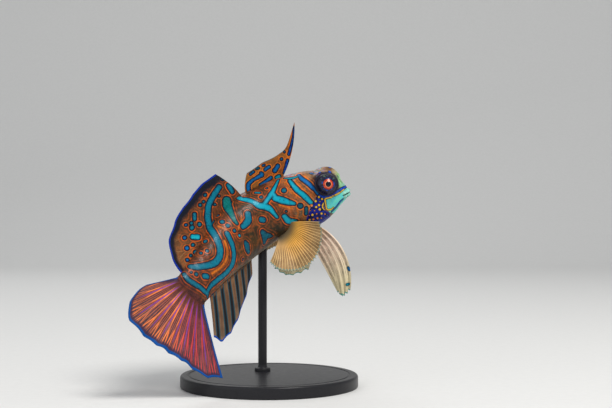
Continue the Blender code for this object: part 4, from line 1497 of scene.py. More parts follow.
TAIL_DRESS = Dress(
    membrane=(0.13, 0.042, 0.052), ray=(0.86, 0.21, 0.055), root=(0.085, 0.024, 0.018),
    low_membrane=(0.12, 0.038, 0.048), low_ray=(0.58, 0.05, 0.055), low_span=(0.45, 0.7),
    tip_membrane=(0.1, 0.05, 0.06), core=(0.25, 0.05, 0.48), core_share=0.9, ray_width=0.22,
    pair=0.19, root_share=0.36, fibres=6.0, fibre_share=0.5, dull=0.6, margin=(0.0, 0.06, 0.26),
    margin_width=(0.4, 0.65, 0.75, 0.65, 0.45), band=(0.045, 0.022, 0.05),
    band_width=(0.9, 1.4, 1.5, 1.3, 0.9), first_side=True, last_side=True)
# Painted shadow: the dark root over root_share stands for the shade on the body behind the fin's base,
# and the darker low colours towards the last rays are painted shade.
BREAST = Dress(
    membrane=(0.62, 0.24, 0.03), ray=(0.86, 0.45, 0.07), root=(0.09, 0.075, 0.05), ray_width=0.2,
    low_membrane=(0.25, 0.125, 0.035), low_ray=(0.46, 0.27, 0.1), low_span=(0.4, 0.95),
    tip_membrane=(0.32, 0.2, 0.085), tip_ray=(0.64, 0.44, 0.21), root_share=0.42,
    margin=(0.16, 0.24, 0.19), margin_width=(0.2, 0.3))
BELLY = Dress(
    membrane=(0.84, 0.6, 0.46), ray=(0.92, 0.72, 0.56), root=(0.78, 0.5, 0.26), ray_width=0.26,
    tip_membrane=(0.58, 0.5, 0.3), tip_ray=(0.68, 0.6, 0.38), margin=(0.1, 0.34, 0.27),
    margin_width=(0.3, 0.3), halo=(0.5, 0.42, 0.24), mark_edge=0.05)

FIRST_DORSAL = MidlineFin(
    name="first_dorsal_fin", rays=4, lengths=(14.5, 13.5, 11.9, 10.2, 8.8, 8.0, 7.3, 5.9, 4.7),
    length_knots=(0.0, 0.03, 0.06, 0.09, 0.13, 0.2, 0.333, 0.667, 1.0), base=(0.268, 0.438),
    bend=(27.0, 8.0, 0.0, -25.0), tilt=12.0, lean=(-40.0, -41.0, -33.0, -14.0), dress=SPINY,
    per_ray=36, rows=110, branch=0.0, twig=0.0, ruffle=0.12, waves=1.5, marks=FIRST_DORSAL_MARKS)
SECOND_DORSAL = MidlineFin(
    name="second_dorsal_fin", rays=8, lengths=(9.2, 10.2, 10.6, 11.3, 12.2, 12.2, 10.9, 7.3),
    base=(0.465, 0.852), bend=(22.0, 6.0, 5.0, 16.0), dress=SOFT_BACK, ruffle=0.18, notch=0.01,
    lean=(12.0, 24.5, 35.0, 43.0, 49.0, 56.0, 68.0, 97.0), root_gap=-0.25, marks=SECOND_DORSAL_MARKS)
ANAL = MidlineFin(
    name="anal_fin", rays=7, lengths=(3.9, 6.8, 9.0, 11.0, 12.6, 12.6, 9.6), base=(0.585, 0.955),
    edge=Edge.BELLY, bend=(4.0, 6.0), lean=(38.0, 41.0, 43.0, 45.0), dress=SOFT_BELLY, rows=80,
    ruffle=0.15, branch=0.0, twig=0.0, notch=0.02, ridge=0.12)
TAIL = TailFin(
    name="caudal_fin", rays=10, bend=(-8.0, -8.0), dress=TAIL_DRESS,
    lengths=(9.0, 11.8, 14.9, 17.2, 16.8, 16.3, 16.0, 16.2, 17.0, 18.3, 18.2),
    length_knots=(0.0, 0.035, 0.111, 0.222, 0.333, 0.444, 0.556, 0.667, 0.778, 0.889, 1.0),
    rows=100, sink=1.2, flare=0.35, ruffle=0.2, waves=5.0, branch=0.25, twig=0.12, split=0.08,
    notch=0.02)
PECTORAL = PairedFin(
    name="pectoral_fin_right", rays=28, lengths=(9.2, 10.8, 11.8, 11.0, 9.4), bend=(8.0, 12.0),
    base=((0.33, 120.0), (0.386, 148.0)), turn=(9.0, 73.0, 142.0), lift=(30.0, 36.0), dress=BREAST,
    per_ray=8, sink=0.1, membrane=0.05, ridge=0.09, branch=0.0, twig=0.0, notch=0.045, web=0.7,
    ruffle=0.12)
PELVIC = PairedFin(
    name="pelvic_fin_right", rays=6, lengths=(21.4, 20.6, 19.0), bend=(85.0, 46.0, 2.0),
    base=((0.195, 150.0), (0.25, 163.0)), turn=(26.0, 51.0, 74.0), lift=(20.0, 12.0), dress=BELLY,
    per_ray=30, sink=0.1, branch=0.24, twig=0.12, split=0.05, ruffle=0.15, marks=PELVIC_MARKS)
FINS: tuple[Fin, ...] = (
    FIRST_DORSAL, SECOND_DORSAL, ANAL, TAIL, PECTORAL,
    replace(
        PECTORAL, name="pectoral_fin_left", hand=Hand.LEFT, base=((0.328, 116.0), (0.386, 148.0)),
        turn=(66.0, 118.0, 168.0), lift=(36.0, 40.0)),
    PELVIC,
    replace(
        PELVIC, name="pelvic_fin_left", hand=Hand.LEFT, lengths=(16.0, 17.2, 15.0),
        bend=(24.0, -12.0), turn=(92.0, 116.0, 140.0), lift=(20.0, 14.0), marks=()),
)


class Ink(Enum):
    """Colours that the materials add to those of the mesh, as linear red, green and blue."""

    NIGHT = (0.003, 0.005, 0.013)
    NAVY = (0.0, 0.012, 0.04)
    LAGOON = (0.004, 0.32, 0.42)
    SOOT = (0.01, 0.008, 0.008)
    EMBER = (0.42, 0.1, 0.018)
    FLAME = (0.5, 0.082, 0.008)
    HEAD_FLAME = (0.66, 0.15, 0.02)
    JAW_BLUE = (0.09, 0.54, 0.58)
    VIOLET = (0.22, 0.09, 0.42)
    CHEEK_BLUE = (0.003, 0.01, 0.24)
    CHEEK_DARK = (0.002, 0.002, 0.02)
    CHEEK_SPECK = (0.0, 0.08, 0.42)
    # Painted shade in the line of the mouth.
    MOUTH_LINE_SHADE = (0.006, 0.004, 0.006)
    LID = (0.012, 0.01, 0.022)
    JOINT = (0.03, 0.012, 0.01)
    PUPIL = (0.002, 0.004, 0.014)
    IRIS_DARK = (0.26, 0.008, 0.01)
    IRIS_RED = (0.66, 0.065, 0.012)
    IRIS_GOLD = (0.75, 0.22, 0.1)
    IRIS_LINE = (0.004, 0.003, 0.012)
    RING_DARK = (0.006, 0.006, 0.022)
    RING_BLUE = (0.004, 0.045, 0.3)
    RING_SPECK = (0.05, 0.03, 0.1)
    RING_GREEN = (0.1, 0.17, 0.1)
    RING_EDGE = (0.004, 0.004, 0.012)
    STAND_DARK = (0.01, 0.01, 0.012)
    STAND_PALE = (0.022, 0.022, 0.025)
    PAPER_DARK = (0.66, 0.66, 0.65)
    PAPER_PALE = (0.71, 0.71, 0.7)


class Cloud(Enum):
    """Patchy noises: scale, detail, and the values between which each one comes in."""

    FLECKS = (2100.0, 3.0, 0.36, 0.66)
    DARK_FLECKS = (1500.0, 2.0, 0.6, 0.74)
    BROKEN_LINE = (640.0, 3.0, 0.36, 0.62)
    WARM = (900.0, 3.0, 0.54, 0.72)
    NET = (420.0, 1.0, 0.42, 0.62)
    JAW = (1300.0, 3.0, 0.35, 0.65)
    NAPE = (850.0, 2.0, 0.5, 0.58)
    NAPE_VIOLET = (620.0, 2.0, 0.45, 0.55)
    CHEEK = (1500.0, 2.0, 0.48, 0.62)
    CHEEK_SPECKS = (1900.0, 3.0, 0.6, 0.7)
    DULL = (260.0, 2.0, 0.44, 0.62)
    IRIS = (9.0, 4.0, 0.35, 0.66)
    RING_ARCS = (2.6, 3.0, 0.46, 0.56)
    RING_SPECKS = (6.5, 3.0, 0.58, 0.66)
    RING_GREEN = (5.0, 2.0, 0.5, 0.62)


class Shades:
    """A node tree, with short ways to add to it."""

    def __init__(self, tree: Tree) -> None:
        """Take a tree and clear it."""
        self.tree = tree
        tree.nodes.clear()

    def feed(self, socket: Socket, value: Value) -> None:
        """Link a socket, or set the number or colour on it."""
        value = value.value if isinstance(value, Enum) else value
        if isinstance(value, bpy.types.NodeSocket):
            self.tree.links.new(value, socket)
        elif isinstance(value, tuple) and socket.type == "RGBA":
            socket.default_value = (*value, 1.0)
        else:
            socket.default_value = value

    def add(
        self, kind: str, fed: Optional[dict[Union[int, str], Value]] = None, **settings: object
    ) -> bpy.types.Node:
        """A new node.

        Args:
            kind: The node's type.
            fed: What goes into its inputs, by index or name.
            settings: The node's own settings.

        Returns:
            The node.
        """
        node = self.tree.nodes.new(kind)
        for name, value in settings.items():
            setattr(node, name, value)
        for key, value in (fed or {}).items():
            self.feed(node.inputs[key], value)
        return node

    def math(self, operation: str, *values: Value) -> Socket:
        """The result of one step of arithmetic."""
        fed = dict(enumerate(values))
        return self.add("ShaderNodeMath", fed, operation=operation).outputs[0]

    def times(self, first: Value, *others: Value) -> Socket:
        """The product of two or more numbers."""
        for other in others:
            first = self.math("MULTIPLY", first, other)
        return first

    def mix(self, share: Value, first: Value, second: Value) -> Socket:
        """A mix of two colours."""
        return self.add("ShaderNodeMix", {0: share, 6: first, 7: second}, data_type="RGBA").outputs[2]

    def step(self, value: Value, start: Value, end: Value) -> Socket:
        """A smooth step from 0 at start to 1 at end."""
        fed = {0: value, 1: start, 2: end}
        return self.add("ShaderNodeMapRange", fed, interpolation_type="SMOOTHSTEP").outputs[0]

    def scale(self, value: Value, low: float, high: float) -> Socket:
        """A share of 0 to 1, stretched to run from low to high."""
        return self.add("ShaderNodeMapRange", {0: value, 3: low, 4: high}).outputs[0]

    def place(self) -> Socket:
        """The object's own coordinates."""
        return self.add("ShaderNodeTexCoord").outputs["Object"]

    def noise(self, scale: float, detail: float, at: Optional[Socket] = None) -> Socket:
        """Noise of the object's own coordinates, or of another place."""
        fed = {"Scale": scale, "Detail": detail, "Vector": at or self.place()}
        return self.add("ShaderNodeTexNoise", fed).outputs[0]

    def cloud(self, cloud: Cloud, at: Optional[Socket] = None) -> Socket:
        """The share in which a patchy noise comes in."""
        scale, detail, start, end = cloud.value
        return self.step(self.noise(scale, detail, at), start, end)

    def waver(self, scale: float, size: float) -> Socket:
        """Noise round 0, for edges that aren't drawn with a ruler."""
        return self.times(self.math("SUBTRACT", self.noise(scale, 3.0), 0.5), size)

    def read(self, name: str) -> Socket:
        """A number that the mesh carries."""
        return self.add("ShaderNodeAttribute", attribute_name=name).outputs["Fac"]

    def read_colour(self, name: str) -> Socket:
        """A colour that the mesh carries."""
        return self.add("ShaderNodeAttribute", attribute_name=name).outputs["Color"]

    def use(self, group: Tree, fed: dict[Union[int, str], Value]) -> bpy.types.Node:
        """A group's node, fed by name."""
        return self.add("ShaderNodeGroup", fed, node_tree=group)


class Kind(Enum):
    """What a socket of a node group carries."""

    NUMBER = "NodeSocketFloat"
    COLOUR = "NodeSocketColor"


class Group(Shades):
    """A node group, with its inputs by name and its outputs to be fed."""

    def __init__(self, name: str, inputs: dict[str, Kind], outputs: dict[str, Kind]) -> None:
        """Make the group's sockets.

        Args:
            name: Name of the group.
            inputs: What goes in, and what it carries.
            outputs: The same for what comes out.
        """
        super().__init__(bpy.data.node_groups.new(name, "ShaderNodeTree"))
        for way, sockets in (("INPUT", inputs), ("OUTPUT", outputs)):
            for label, kind in sockets.items():
                self.tree.interface.new_socket(label, in_out=way, socket_type=kind.value)
        start = self.add("NodeGroupInput")
        self.given = {label: start.outputs[label] for label in inputs}
        self.end = self.add("NodeGroupOutput")

    def give(self, label: str, value: Socket) -> None:
        """Feed one of the group's outputs."""
        self.feed(self.end.inputs[label], value)


@cache
def outlined_group() -> Tree:
    """A marking with a dark line round it, an orange line beyond and a faint second one.

    Noise makes the edges waver and the orange lines fade in and out.

    Returns:
        The node group.
    """
    colours = dict.fromkeys(("Ground", "Fill", "Halo"), Kind.COLOUR)
    numbers = ("Distance", "Edge Width", "Halo Width", "Depth", "Contours")
    s = Group(
        "outlined mark", {**colours, **dict.fromkeys(numbers, Kind.NUMBER)},
        {"Colour": Kind.COLOUR, "Mask": Kind.NUMBER})
    fill, halo = s.given["Fill"], s.given["Halo"]
    far = s.math("ADD", s.given["Distance"], s.waver(750.0, 0.3))

    deep_share = s.step(far, s.times(s.given["Depth"], -1.0), 0.0)
    deep = s.mix(deep_share, fill, s.mix(0.75, fill, Ink.NAVY))
    inner = s.mix(s.times(s.cloud(Cloud.FLECKS), 0.5), deep, s.mix(0.35, deep, Ink.LAGOON))
    inner = s.mix(s.times(s.cloud(Cloud.DARK_FLECKS), 0.5), inner, Ink.NIGHT)
    line = s.mix(s.step(far, -0.06, 0.02), inner, Ink.NIGHT)

    broken = s.scale(s.cloud(Cloud.BROKEN_LINE), 0.15, 1.0)
    start = s.given["Edge Width"]
    middle = s.math("ADD", start, s.given["Halo Width"])
    stop = s.math("ADD", middle, s.given["Halo Width"])
    glow = s.math("SUBTRACT", 1.0, s.step(far, middle, stop))
    beyond = s.mix(s.times(glow, broken), s.given["Ground"], halo)
    again = s.math("SUBTRACT", s.step(far, 0.78, 0.98), s.step(far, 1.02, 1.25))
    beyond = s.mix(s.times(again, s.given["Contours"], broken), beyond, halo)

    outside = s.step(far, s.math("SUBTRACT", start, 0.04), s.math("ADD", start, 0.05))
    s.give("Colour", s.mix(outside, line, beyond))
    s.give("Mask", s.step(far, 0.05, -0.15))
    return s.tree


@cache
def mottle_group() -> Tree:
    """A ground broken up by clouds, by fine dark grains and by a net of orange lines.

    The net is the edges of a Voronoi pattern's cells, moved aside by noise.

    Returns:
        The node group.
    """
    s = Group(
        "mottle", {"Ground": Kind.COLOUR, "Strength": Kind.NUMBER, "Warmth": Kind.NUMBER},
        {"Colour": Kind.COLOUR, "Height": Kind.NUMBER})
    ground, warmth = s.given["Ground"], s.given["Warmth"]
    both = s.math("ADD", s.times(s.noise(480.0, 4.0), 0.6), s.times(s.noise(3600.0, 2.0), 0.4))
    share = s.times(s.step(both, 0.62, 0.38), s.given["Strength"])
    colour = s.mix(share, ground, s.mix(0.72, ground, Ink.SOOT))

    at = s.place()
    drift = s.add("ShaderNodeTexNoise", {"Scale": 700.0, "Vector": at}).outputs["Color"]
    shift = s.add("ShaderNodeVectorMath", {0: drift, "Scale": 1.2 * MM}, operation="SCALE")
    moved = s.add("ShaderNodeVectorMath", {0: at, 1: shift.outputs[0]}, operation="ADD")
    fed = {"Vector": moved.outputs[0], "Scale": 520.0}
    cells = s.add("ShaderNodeTexVoronoi", fed, feature="DISTANCE_TO_EDGE")
    net = s.step(cells.outputs["Distance"], 0.2, 0.02)
    net = s.times(net, s.times(s.cloud(Cloud.NET), warmth), 1.1)
    warm = s.math("MAXIMUM", s.times(s.cloud(Cloud.WARM), warmth), net)
    s.give("Colour", s.mix(warm, colour, s.mix(0.5, colour, Ink.EMBER)))
    s.give("Height", both)
    return s.tree


@dataclass(frozen=True)
class Finish:
    """A material: how rough it is, its clear coat, its bumps in millimetres and its paint."""

    rough: Pair = (0.34, 0.5)
    grain: float = 900.0
    shine: float = 0.14
    coat: float = 0.07
    coat_rough: float = 0.12
    bump: float = 0.03
    strength: float = 0.5

    def paint(self, s: Shades) -> Paint:
        """Add the nodes of the paint; gives the colour and the height of the bumps."""
        raise NotImplementedError

    def dress(self, piece: Piece) -> None:
        """Give a piece this finish."""
        material = bpy.data.materials.new(piece.name)
        material.use_nodes = True
        s = Shades(material.node_tree)
        colour, height = self.paint(s)
        bump = s.add("ShaderNodeBump", {
            "Strength": self.strength, "Distance": self.bump * MM, "Height": height})
        shader = s.add("ShaderNodeBsdfPrincipled", {
            "Base Color": colour, "Roughness": s.scale(s.noise(self.grain, 3.0), *self.rough),
            "Specular IOR Level": self.shine, "Coat Weight": self.coat,
            "Coat Roughness": self.coat_rough, "Normal": bump.outputs[0]})
        s.add("ShaderNodeOutputMaterial", {"Surface": shader.outputs[0]})
        piece.data.materials.append(material)


@dataclass(frozen=True)
class SkinFinish(Finish):
    """Wet skin: ground, cheek and jaw, turquoise markings, gold dots, mouth and lids."""

    face_edge: float = 0.16
    gold_edge: float = 0.07

    def paint(self, s: Shades) -> Paint:
        """Lay the patches of the head and the markings over the mottled ground."""
        bright = s.read("bright")
        ground = s.use(mottle_group(), {
            "Ground": s.read_colour("ground"), "Strength": 0.9, "Warmth": s.scale(bright, 0.45, 0.12)})
        ragged = s.waver(1300.0, 0.25)
        mint = s.mix(s.cloud(Cloud.JAW), Tone.MINT, Ink.JAW_BLUE)
        jaw = s.step(s.math("ADD", s.read("jaw"), ragged), 0.18, -0.1)
        colour = s.mix(jaw, ground.outputs["Colour"], mint)
        violet = s.mix(s.cloud(Cloud.NAPE_VIOLET), Tone.LIT_TEAL, Ink.VIOLET)
        colour = s.mix(s.times(s.read("nape"), s.cloud(Cloud.NAPE)), colour, violet)
        cheek = s.step(s.math("ADD", s.read("cheek"), ragged), 0.2, -0.12)
        blue = s.mix(s.cloud(Cloud.CHEEK), Ink.CHEEK_BLUE, Ink.CHEEK_DARK)
        blue = s.mix(s.cloud(Cloud.CHEEK_SPECKS), blue, Ink.CHEEK_SPECK)
        colour = s.mix(cheek, colour, blue)

        halo = s.mix(cheek, s.mix(bright, Ink.FLAME, Ink.HEAD_FLAME), blue)
        marks = s.use(outlined_group(), {
            "Ground": colour, "Fill": s.read_colour("fill"), "Halo": halo,
            "Distance": s.read("mark"), "Edge Width": 0.22, "Halo Width": s.scale(bright, 0.16, 0.2),
            "Depth": 0.45, "Contours": 0.35})
        colour = marks.outputs["Colour"]
        for channel, edge in (("face", self.face_edge), ("gold", self.gold_edge)):
            colour = s.use(outlined_group(), {
                "Ground": colour, "Fill": s.read_colour(f"{channel}_fill"), "Halo": colour,
                "Distance": s.read(channel), "Edge Width": edge,
                "Halo Width": 0.03, "Depth": 0.1, "Contours": 0.0}).outputs["Colour"]
        # Painted shade: the mouth's line darkens along its groove.
        colour = s.mix(s.read("crease_shade"), colour, Ink.MOUTH_LINE_SHADE)
        colour = s.mix(s.step(s.read("look"), 76.0, 62.0), colour, Ink.LID)
        rough = s.times(ground.outputs["Height"], 0.8)
        return colour, s.math("ADD", rough, s.times(marks.outputs["Mask"], 0.25))


@dataclass(frozen=True, kw_only=True)
class FinFinish(Finish):
    """A thin wet fin: membrane, jointed rays, markings and a blue edge."""

    rough: Pair = (0.42, 0.58)
    shine: float = 0.12
    coat: float = 0.03
    bump: float = 0.02
    strength: float = 0.4
    look: Dress
    marked: bool
    joint_gap: float = 0.19

    def rays(self, s: Shades, membrane: Socket) -> Paint:
        """The colour of membrane and rays, and how much of a joint each point has.

        Args:
            s: The material's tree.
            membrane: The mottled membrane's colour.

        Returns:
            The colour and the share of the joints.
        """
        look = self.look
        crest = s.read("crest")
        joint = s.step(s.math("PINGPONG", s.read("reach"), self.joint_gap), 0.035, 0.0)
        ray = s.mix(s.times(joint, 0.3), s.read_colour("ray"), Ink.JOINT)
        fibre = s.math("PINGPONG", s.times(s.read("lane"), 2.0 * look.fibres), 1.0)
        rooted = s.times(s.step(s.read("along"), 0.1, 0.35), look.fibre_share)
        web = s.mix(s.times(s.step(fibre, 0.62, 0.95), rooted), membrane, s.read_colour("ray"))
        if look.ray_edge:
            web = s.mix(s.step(crest, 0.08, 0.25), web, look.ray_edge)
        if look.dull > 0.0:
            ray = s.mix(s.times(s.cloud(Cloud.DULL), look.dull), ray, s.read_colour("ground"))
        colour = s.mix(s.step(crest, 0.25, 0.6 if look.ray_edge else 0.8), web, ray)
        return s.mix(s.read("core"), colour, look.core), joint

    def paint(self, s: Shades) -> Paint:
        """Lay rays, markings, band and margin over the mottled membrane."""
        look = self.look
        ground = s.use(mottle_group(), {
            "Ground": s.read_colour("ground"), "Strength": 0.7, "Warmth": look.warmth})
        colour, joint = self.rays(s, ground.outputs["Colour"])
        if self.marked:
            colour = s.use(outlined_group(), {
                "Ground": colour, "Fill": s.read_colour("fill"), "Halo": look.halo,
                "Distance": s.read("mark"), "Edge Width": look.mark_edge,
                "Halo Width": 0.15, "Depth": 0.4, "Contours": 0.3}).outputs["Colour"]
        ragged = s.waver(700.0, 0.5)
        if max(look.band_width) > 0.0:
            band = s.step(s.math("ADD", s.read("band"), ragged), 1.25, 0.65)
            colour = s.mix(s.times(band, 0.96), colour, look.band)
        margin = s.math("ADD", s.read("margin"), ragged)
        colour = s.mix(s.step(margin, 1.15, 0.8), colour, look.margin)
        height = s.times(ground.outputs["Height"], 0.5)
        return colour, s.math("ADD", height, s.times(joint, -0.2))


@dataclass(frozen=True)
class EyeFinish(Finish):
    """A glassy eye: pupil, gold ring, streaked red iris and a dark blue outer ring.

    The rings lie by the angle in degrees from the axis that the eye looks in.
    """

    rough: Pair = (0.1, 0.18)
    shine: float = 0.15
    coat: float = 0.35
    coat_rough: float = 0.03
    bump: float = 0.015
    strength: float = 0.2
    gold_ring: Pair = (17.5, 14.8)
    pupil: Pair = (12.6, 13.5)
    iris_line: Pair = (24.0, 25.4)
    outer_ring: Pair = (26.4, 28.4)
    outer_edge: Pair = (50.0, 58.0)
    arcs: Pair = (37.0, 30.0)
    green: Pair = (34.0, 42.0)
    streaks: Pair = (14.0, 17.0)
    streak_step: float = 0.012

    def paint(self, s: Shades) -> Paint:
        """Lay the rings over each other, from the streaked iris outward."""
        polar, up = s.read("polar"), s.read("turn_y")
        spot = s.add("ShaderNodeCombineXYZ", {
            0: s.read("turn_x"), 1: up, 2: s.times(polar, self.streak_step)}).outputs[0]
        iris = s.mix(s.cloud(Cloud.IRIS, spot), Ink.IRIS_DARK, Ink.IRIS_RED)
        iris = s.mix(s.step(polar, *self.gold_ring), iris, Ink.IRIS_GOLD)
        arcs = s.times(s.cloud(Cloud.RING_ARCS, spot), s.step(polar, *self.arcs))
        outer = s.mix(arcs, Ink.RING_DARK, Ink.RING_BLUE)
        outer = s.mix(s.times(s.cloud(Cloud.RING_SPECKS, spot), 0.5), outer, Ink.RING_SPECK)
        green = s.times(s.step(up, 0.1, 0.8), s.cloud(Cloud.RING_GREEN, spot))
        green = s.times(green, s.step(polar, *self.green), 0.55)
        outer = s.mix(green, outer, Ink.RING_GREEN)
        colour = Ink.PUPIL
        for ring, ink in (
            (self.pupil, iris), (self.iris_line, Ink.IRIS_LINE), (self.outer_ring, outer),
            (self.outer_edge, Ink.RING_EDGE),
        ):
            colour = s.mix(s.step(polar, *ring), colour, ink)
        scale, detail, _, _ = Cloud.IRIS.value
        return colour, s.times(s.noise(scale, detail, spot), s.step(polar, *self.streaks))


@dataclass(frozen=True)
class GrainFinish(Finish):
    """A plain finish with a fine grain, mixed from two inks."""

    inks: tuple[Ink, Ink] = (Ink.STAND_DARK, Ink.STAND_PALE)
    spots: Pair = (2500.0, 3.0)

    def paint(self, s: Shades) -> Paint:
        """Mix the two inks by noise, which also gives the bumps."""
        spots = s.noise(*self.spots)
        return s.mix(spots, *self.inks), spots


SATIN = GrainFinish(rough=(0.32, 0.42), grain=700.0, coat=0.1, bump=0.01, strength=0.3)
PAPER = GrainFinish(
    rough=(0.55, 0.7), grain=300.0, coat=0.0, bump=0.05, strength=0.2,
    inks=(Ink.PAPER_DARK, Ink.PAPER_PALE), spots=(500.0, 4.0))


def turned(
    name: str, profile: Array, around: int, centre: Array, axes: Sequence[Array] = np.eye(3)
) -> Piece:
    """A shape turned round an axis: radius (cos side + sin other side) + height axis.

    Args:
        name: Name of the piece.
        profile: Rows of radius and height in metres.
        around: Vertices in a ring.
        centre: Place of the axis.
        axes: The two sides and the axis itself.

    Returns:
        The new object.
    """
    turn = np.linspace(0.0, 2.0 * math.pi, around, endpoint=False)[:, None]
    side, other, axis = axes
    ring = np.cos(turn) * side + np.sin(turn) * other
    points = profile[:, None, :1] * ring[None] + profile[:, None, 1:] * axis
    return make_piece(name, with_ends(points + centre), *tube_faces(len(profile), around))


@dataclass(frozen=True)
class Eyeball:
    """An eye: a ball with a low dome over the pupil, its radius in millimetres.

    The gaze is how far the eye turns ahead and up from the socket's own axis.
    """

    hand: Hand
    name: str
    radius: float = 3.0
    rings: int = 110
    around: int = 120
    dome: float = 0.05
    dome_degrees: float = 17.0
    gaze: Pair = (0.1, -0.11)

    def build(self) -> Piece:
        """Turn the ball's outline round the axis that the eye looks in.

        Returns:
            The eye's object, without its material.
        """
        degrees = spaced(self.rings, (0.4, 60.0, 75.0, 179.6), (3.0, 3.0, 1.0, 1.0))
        _, forward, _, dorsal = SPINE.frame(BODY.eye_station)
        axis = BODY.eye_axis(self.hand)
        axis = unit(axis + self.gaze[0] * forward + self.gaze[1] * dorsal)
        side = unit(np.cross(axis, np.array([0.0, 0.0, 1.0])))
        polar = np.radians(degrees)
        radius = self.radius * MM * (1.0 + self.dome * hump(degrees, 0.0, self.dome_degrees))
        profile = np.stack([radius * np.sin(polar), radius * np.cos(polar)], -1)
        axes = (side, np.cross(side, axis), axis)
        centre = BODY.eye_centre(self.hand)
        piece = turned(f"{self.name}_fine", profile, self.around, centre, axes)
        turn = np.linspace(0.0, 2.0 * math.pi, self.around, endpoint=False)
        fields = {"polar": degrees[:, None], "turn_x": np.cos(turn), "turn_y": np.sin(turn)}
        for name, values in fields.items():
            tell(piece, name, with_ends(np.broadcast_to(values, (self.rings, self.around))))
        return piece


def rounded(corners: Sequence[Triple], steps: int = 8) -> Array:
    """An outline through corners of radius, height and rounding, all in millimetres.

    Each corner becomes a quadratic curve that starts and ends its rounding away from it.

    Args:
        corners: The corners in order.
        steps: Points on the curve at each corner.

    Returns:
        Rows of radius and height in metres.
    """
    table = np.array(corners)
    places, sizes = table[:, :2], table[1:-1, 2]
    t = np.linspace(0.0, 1.0, steps)[:, None]
    rows = [places[:1]]
    for before, corner, after, size in zip(places[:-2], places[1:-1], places[2:], sizes):
        start = corner + unit(before - corner) * size
        end = corner + unit(after - corner) * size
        rows.append((1.0 - t) ** 2 * start + 2.0 * t * (1.0 - t) * corner + t * t * end)
    return np.vstack([*rows, places[-1:]]) * MM


@dataclass(frozen=True)
class Stand:
    """The round base and the rod that holds the fish, in millimetres."""

    radius: float = 22.0
    thickness: float = 3.0
    sides: int = 256
    axis_radius: float = 0.02
    groove: float = 2.1
    groove_depth: float = 0.22
    foot: float = 1.6
    foot_height: float = 0.12
    rod_radius: float = 1.1
    rod_sides: int = 96
    rod_station: float = 0.455
    rod_sink: float = 0.6
    collar: float = 2.0
    collar_height: float = 0.9

    def build_base(self) -> Piece:
        """Turn the disc, with an eased rim, a groove on top and a chamfer below.

        Returns:
            The disc, without its material.
        """
        r, t, g = self.radius, self.thickness, self.radius - self.groove
        low = t - self.groove_depth
        corners = (
            (self.axis_radius, t, 0.0), (g - 0.3, t, 0.1), (g - 0.15, low, 0.08),
            (g + 0.15, low, 0.08), (g + 0.3, t, 0.1), (r, t, 0.7), (r, 0.0, 0.35),
            (r - self.foot + 0.2, 0.0, 0.1), (r - self.foot, self.foot_height, 0.05),
            (self.axis_radius, self.foot_height, 0.0))
        return turned("stand_disc", rounded(corners), self.sides, np.zeros(3))

    def build_rod(self) -> Piece:
        """Turn the rod, with a collar at its foot and a rounded top inside the belly.

        Returns:
            The rod, without its material.
        """
        station = np.array(self.rod_station)
        _, bottom, _ = BODY.section(station)
        x, y, top = SPINE.place(station, 0.0, -self.rod_sink * bottom)
        r, t, end = self.rod_radius, self.thickness, top / MM
        foot, collar = t - 0.2, t + self.collar_height
        corners = (
            (self.axis_radius, foot, 0.0), (self.collar, foot, 0.02), (self.collar, collar, 0.3),
            (r + 0.12, collar + 0.1, 0.2), (r, collar + 0.7, 0.2), (r, end, 0.6),
            (self.axis_radius, end, 0.0))
        return turned("stand_pin", rounded(corners), self.rod_sides, np.array([x, y, 0.0]))


@dataclass(frozen=True)
class Lamp:
    """A square soft light: its name, place, size in metres, watts and tint."""

    name: str
    place: Triple
    size: float
    watts: float
    tint: Colour

    def make(self, target: Triple) -> None:
        """Put the light into the scene, turned to a target."""
        lamp = bpy.data.lights.new(self.name, "AREA")
        lamp.size, lamp.energy, lamp.color = self.size, self.watts, self.tint
        holder = add_object(self.name, lamp)
        holder.location = self.place
        aim = Vector(target) - Vector(self.place)
        holder.rotation_euler = aim.to_track_quat("-Z", "Y").to_euler()


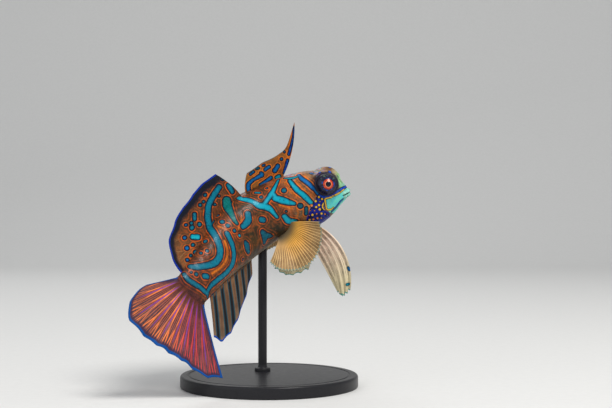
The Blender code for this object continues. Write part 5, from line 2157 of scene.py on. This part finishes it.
@dataclass(frozen=True)
class Studio:
    """A pale sweep of paper, soft lights and an even sky; lengths in metres."""

    half_width: float = 2.0
    front: float = -3.0
    fine_front: float = -0.3
    bend_start: float = 0.55
    bend_radius: float = 0.35
    bend_steps: int = 24
    floor_steps: int = 12
    columns: int = 25
    height: float = 1.8
    thickness: float = 0.03
    target: Triple = (0.0, 0.0, 0.045)
    sky: float = 0.5
    sky_tint: Colour = (0.95, 0.97, 1.0)
    lamps: tuple[Lamp, ...] = (
        Lamp("key", (0.26, -0.34, 0.58), 0.26, 4.4, (1.0, 0.98, 0.95)),
        Lamp("fill", (-0.5, -0.45, 0.22), 0.7, 1.2, (0.94, 0.97, 1.0)),
        Lamp("back", (-0.15, 0.42, 0.45), 0.3, 0.6, (1.0, 1.0, 1.0)),
    )

    def build_sweep(self) -> Piece:
        """Make floor and wall in one sheet, with a quarter of a round bend between them.

        Returns:
            The sweep, without its material.
        """
        turn = np.linspace(0.0, 0.5 * math.pi, self.bend_steps)[1:]
        wall = self.bend_start + self.bend_radius
        floor = np.linspace(self.fine_front, self.bend_start, self.floor_steps)
        bend = self.bend_start + self.bend_radius * np.sin(turn)
        y = np.concatenate([[self.front], floor, bend, [wall]])
        rise = self.bend_radius * (1.0 - np.cos(turn))
        z = np.concatenate([np.zeros(self.floor_steps + 1), rise, [self.height]])
        x = np.linspace(-self.half_width, self.half_width, self.columns)
        grid = np.stack(np.broadcast_arrays(x[:, None], y[None, :], z[None, :]), -1)
        back = grid + np.array([0.0, self.thickness, -self.thickness])
        points = np.concatenate([grid.reshape(-1, 3), back.reshape(-1, 3)])
        return make_piece("sweep", points, *sheet_faces(len(x), len(y)))

    def build_lights(self) -> None:
        """The key light from above and in front, a fill, a light behind and the sky."""
        for lamp in self.lamps:
            lamp.make(self.target)
        world = bpy.data.worlds.new("sky")
        world.use_nodes = True
        background = world.node_tree.nodes["Background"]
        background.inputs["Color"].default_value = (*self.sky_tint, 1.0)
        background.inputs["Strength"].default_value = self.sky
        bpy.context.scene.world = world


def place(piece: Piece, finish: Finish, slot: str, *nodes: str) -> None:
    """Args:
        piece: The object.
        finish: Its material.
        slot: The slot that it belongs to; not used.
        nodes: Names of the nodes.
    """
    finish.dress(piece)
    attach(piece, "root")
    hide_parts(*nodes)
    count = len(piece.data.polygons)
    LOG.info("%s stands for %s with %d faces", piece.name, ", ".join(nodes), count)


@dataclass(frozen=True)
class Fish:
    """The fish: its skin, its eyes and its fins."""

    flesh_nodes: tuple[str, ...] = ("head", "torso_front", "torso_rear", "tail_peduncle")
    eyes: tuple[Eyeball, ...] = (
        Eyeball(Hand.RIGHT, "eye_right"), Eyeball(Hand.LEFT, "eye_left"))
    fins: tuple[Fin, ...] = FINS

    def build(self) -> None:
        """Make and dress every piece of the fish."""
        place(Skin().build(), SkinFinish(), "skin", *self.flesh_nodes)
        for eye in self.eyes:
            place(eye.build(), EyeFinish(), "eye", eye.name)
        for fin in self.fins:
            finish = FinFinish(look=fin.dress, marked=bool(fin.marks))
            place(fin.build(), finish, "fin", fin.name)


def main() -> None:
    """Build the camera, the fish, the stand and the studio in that order."""
    logging.basicConfig(level=logging.INFO)
    VIEW.make()
    bpy.context.scene.view_settings.view_transform = "Standard"
    Fish().build()
    stand = Stand()
    place(stand.build_base(), SATIN, "stand", "stand_base")
    place(stand.build_rod(), SATIN, "stand", "stand_rod")
    studio = Studio()
    sweep = studio.build_sweep()
    PAPER.dress(sweep)
    studio.build_lights()


if __name__ == "__main__":
    main()
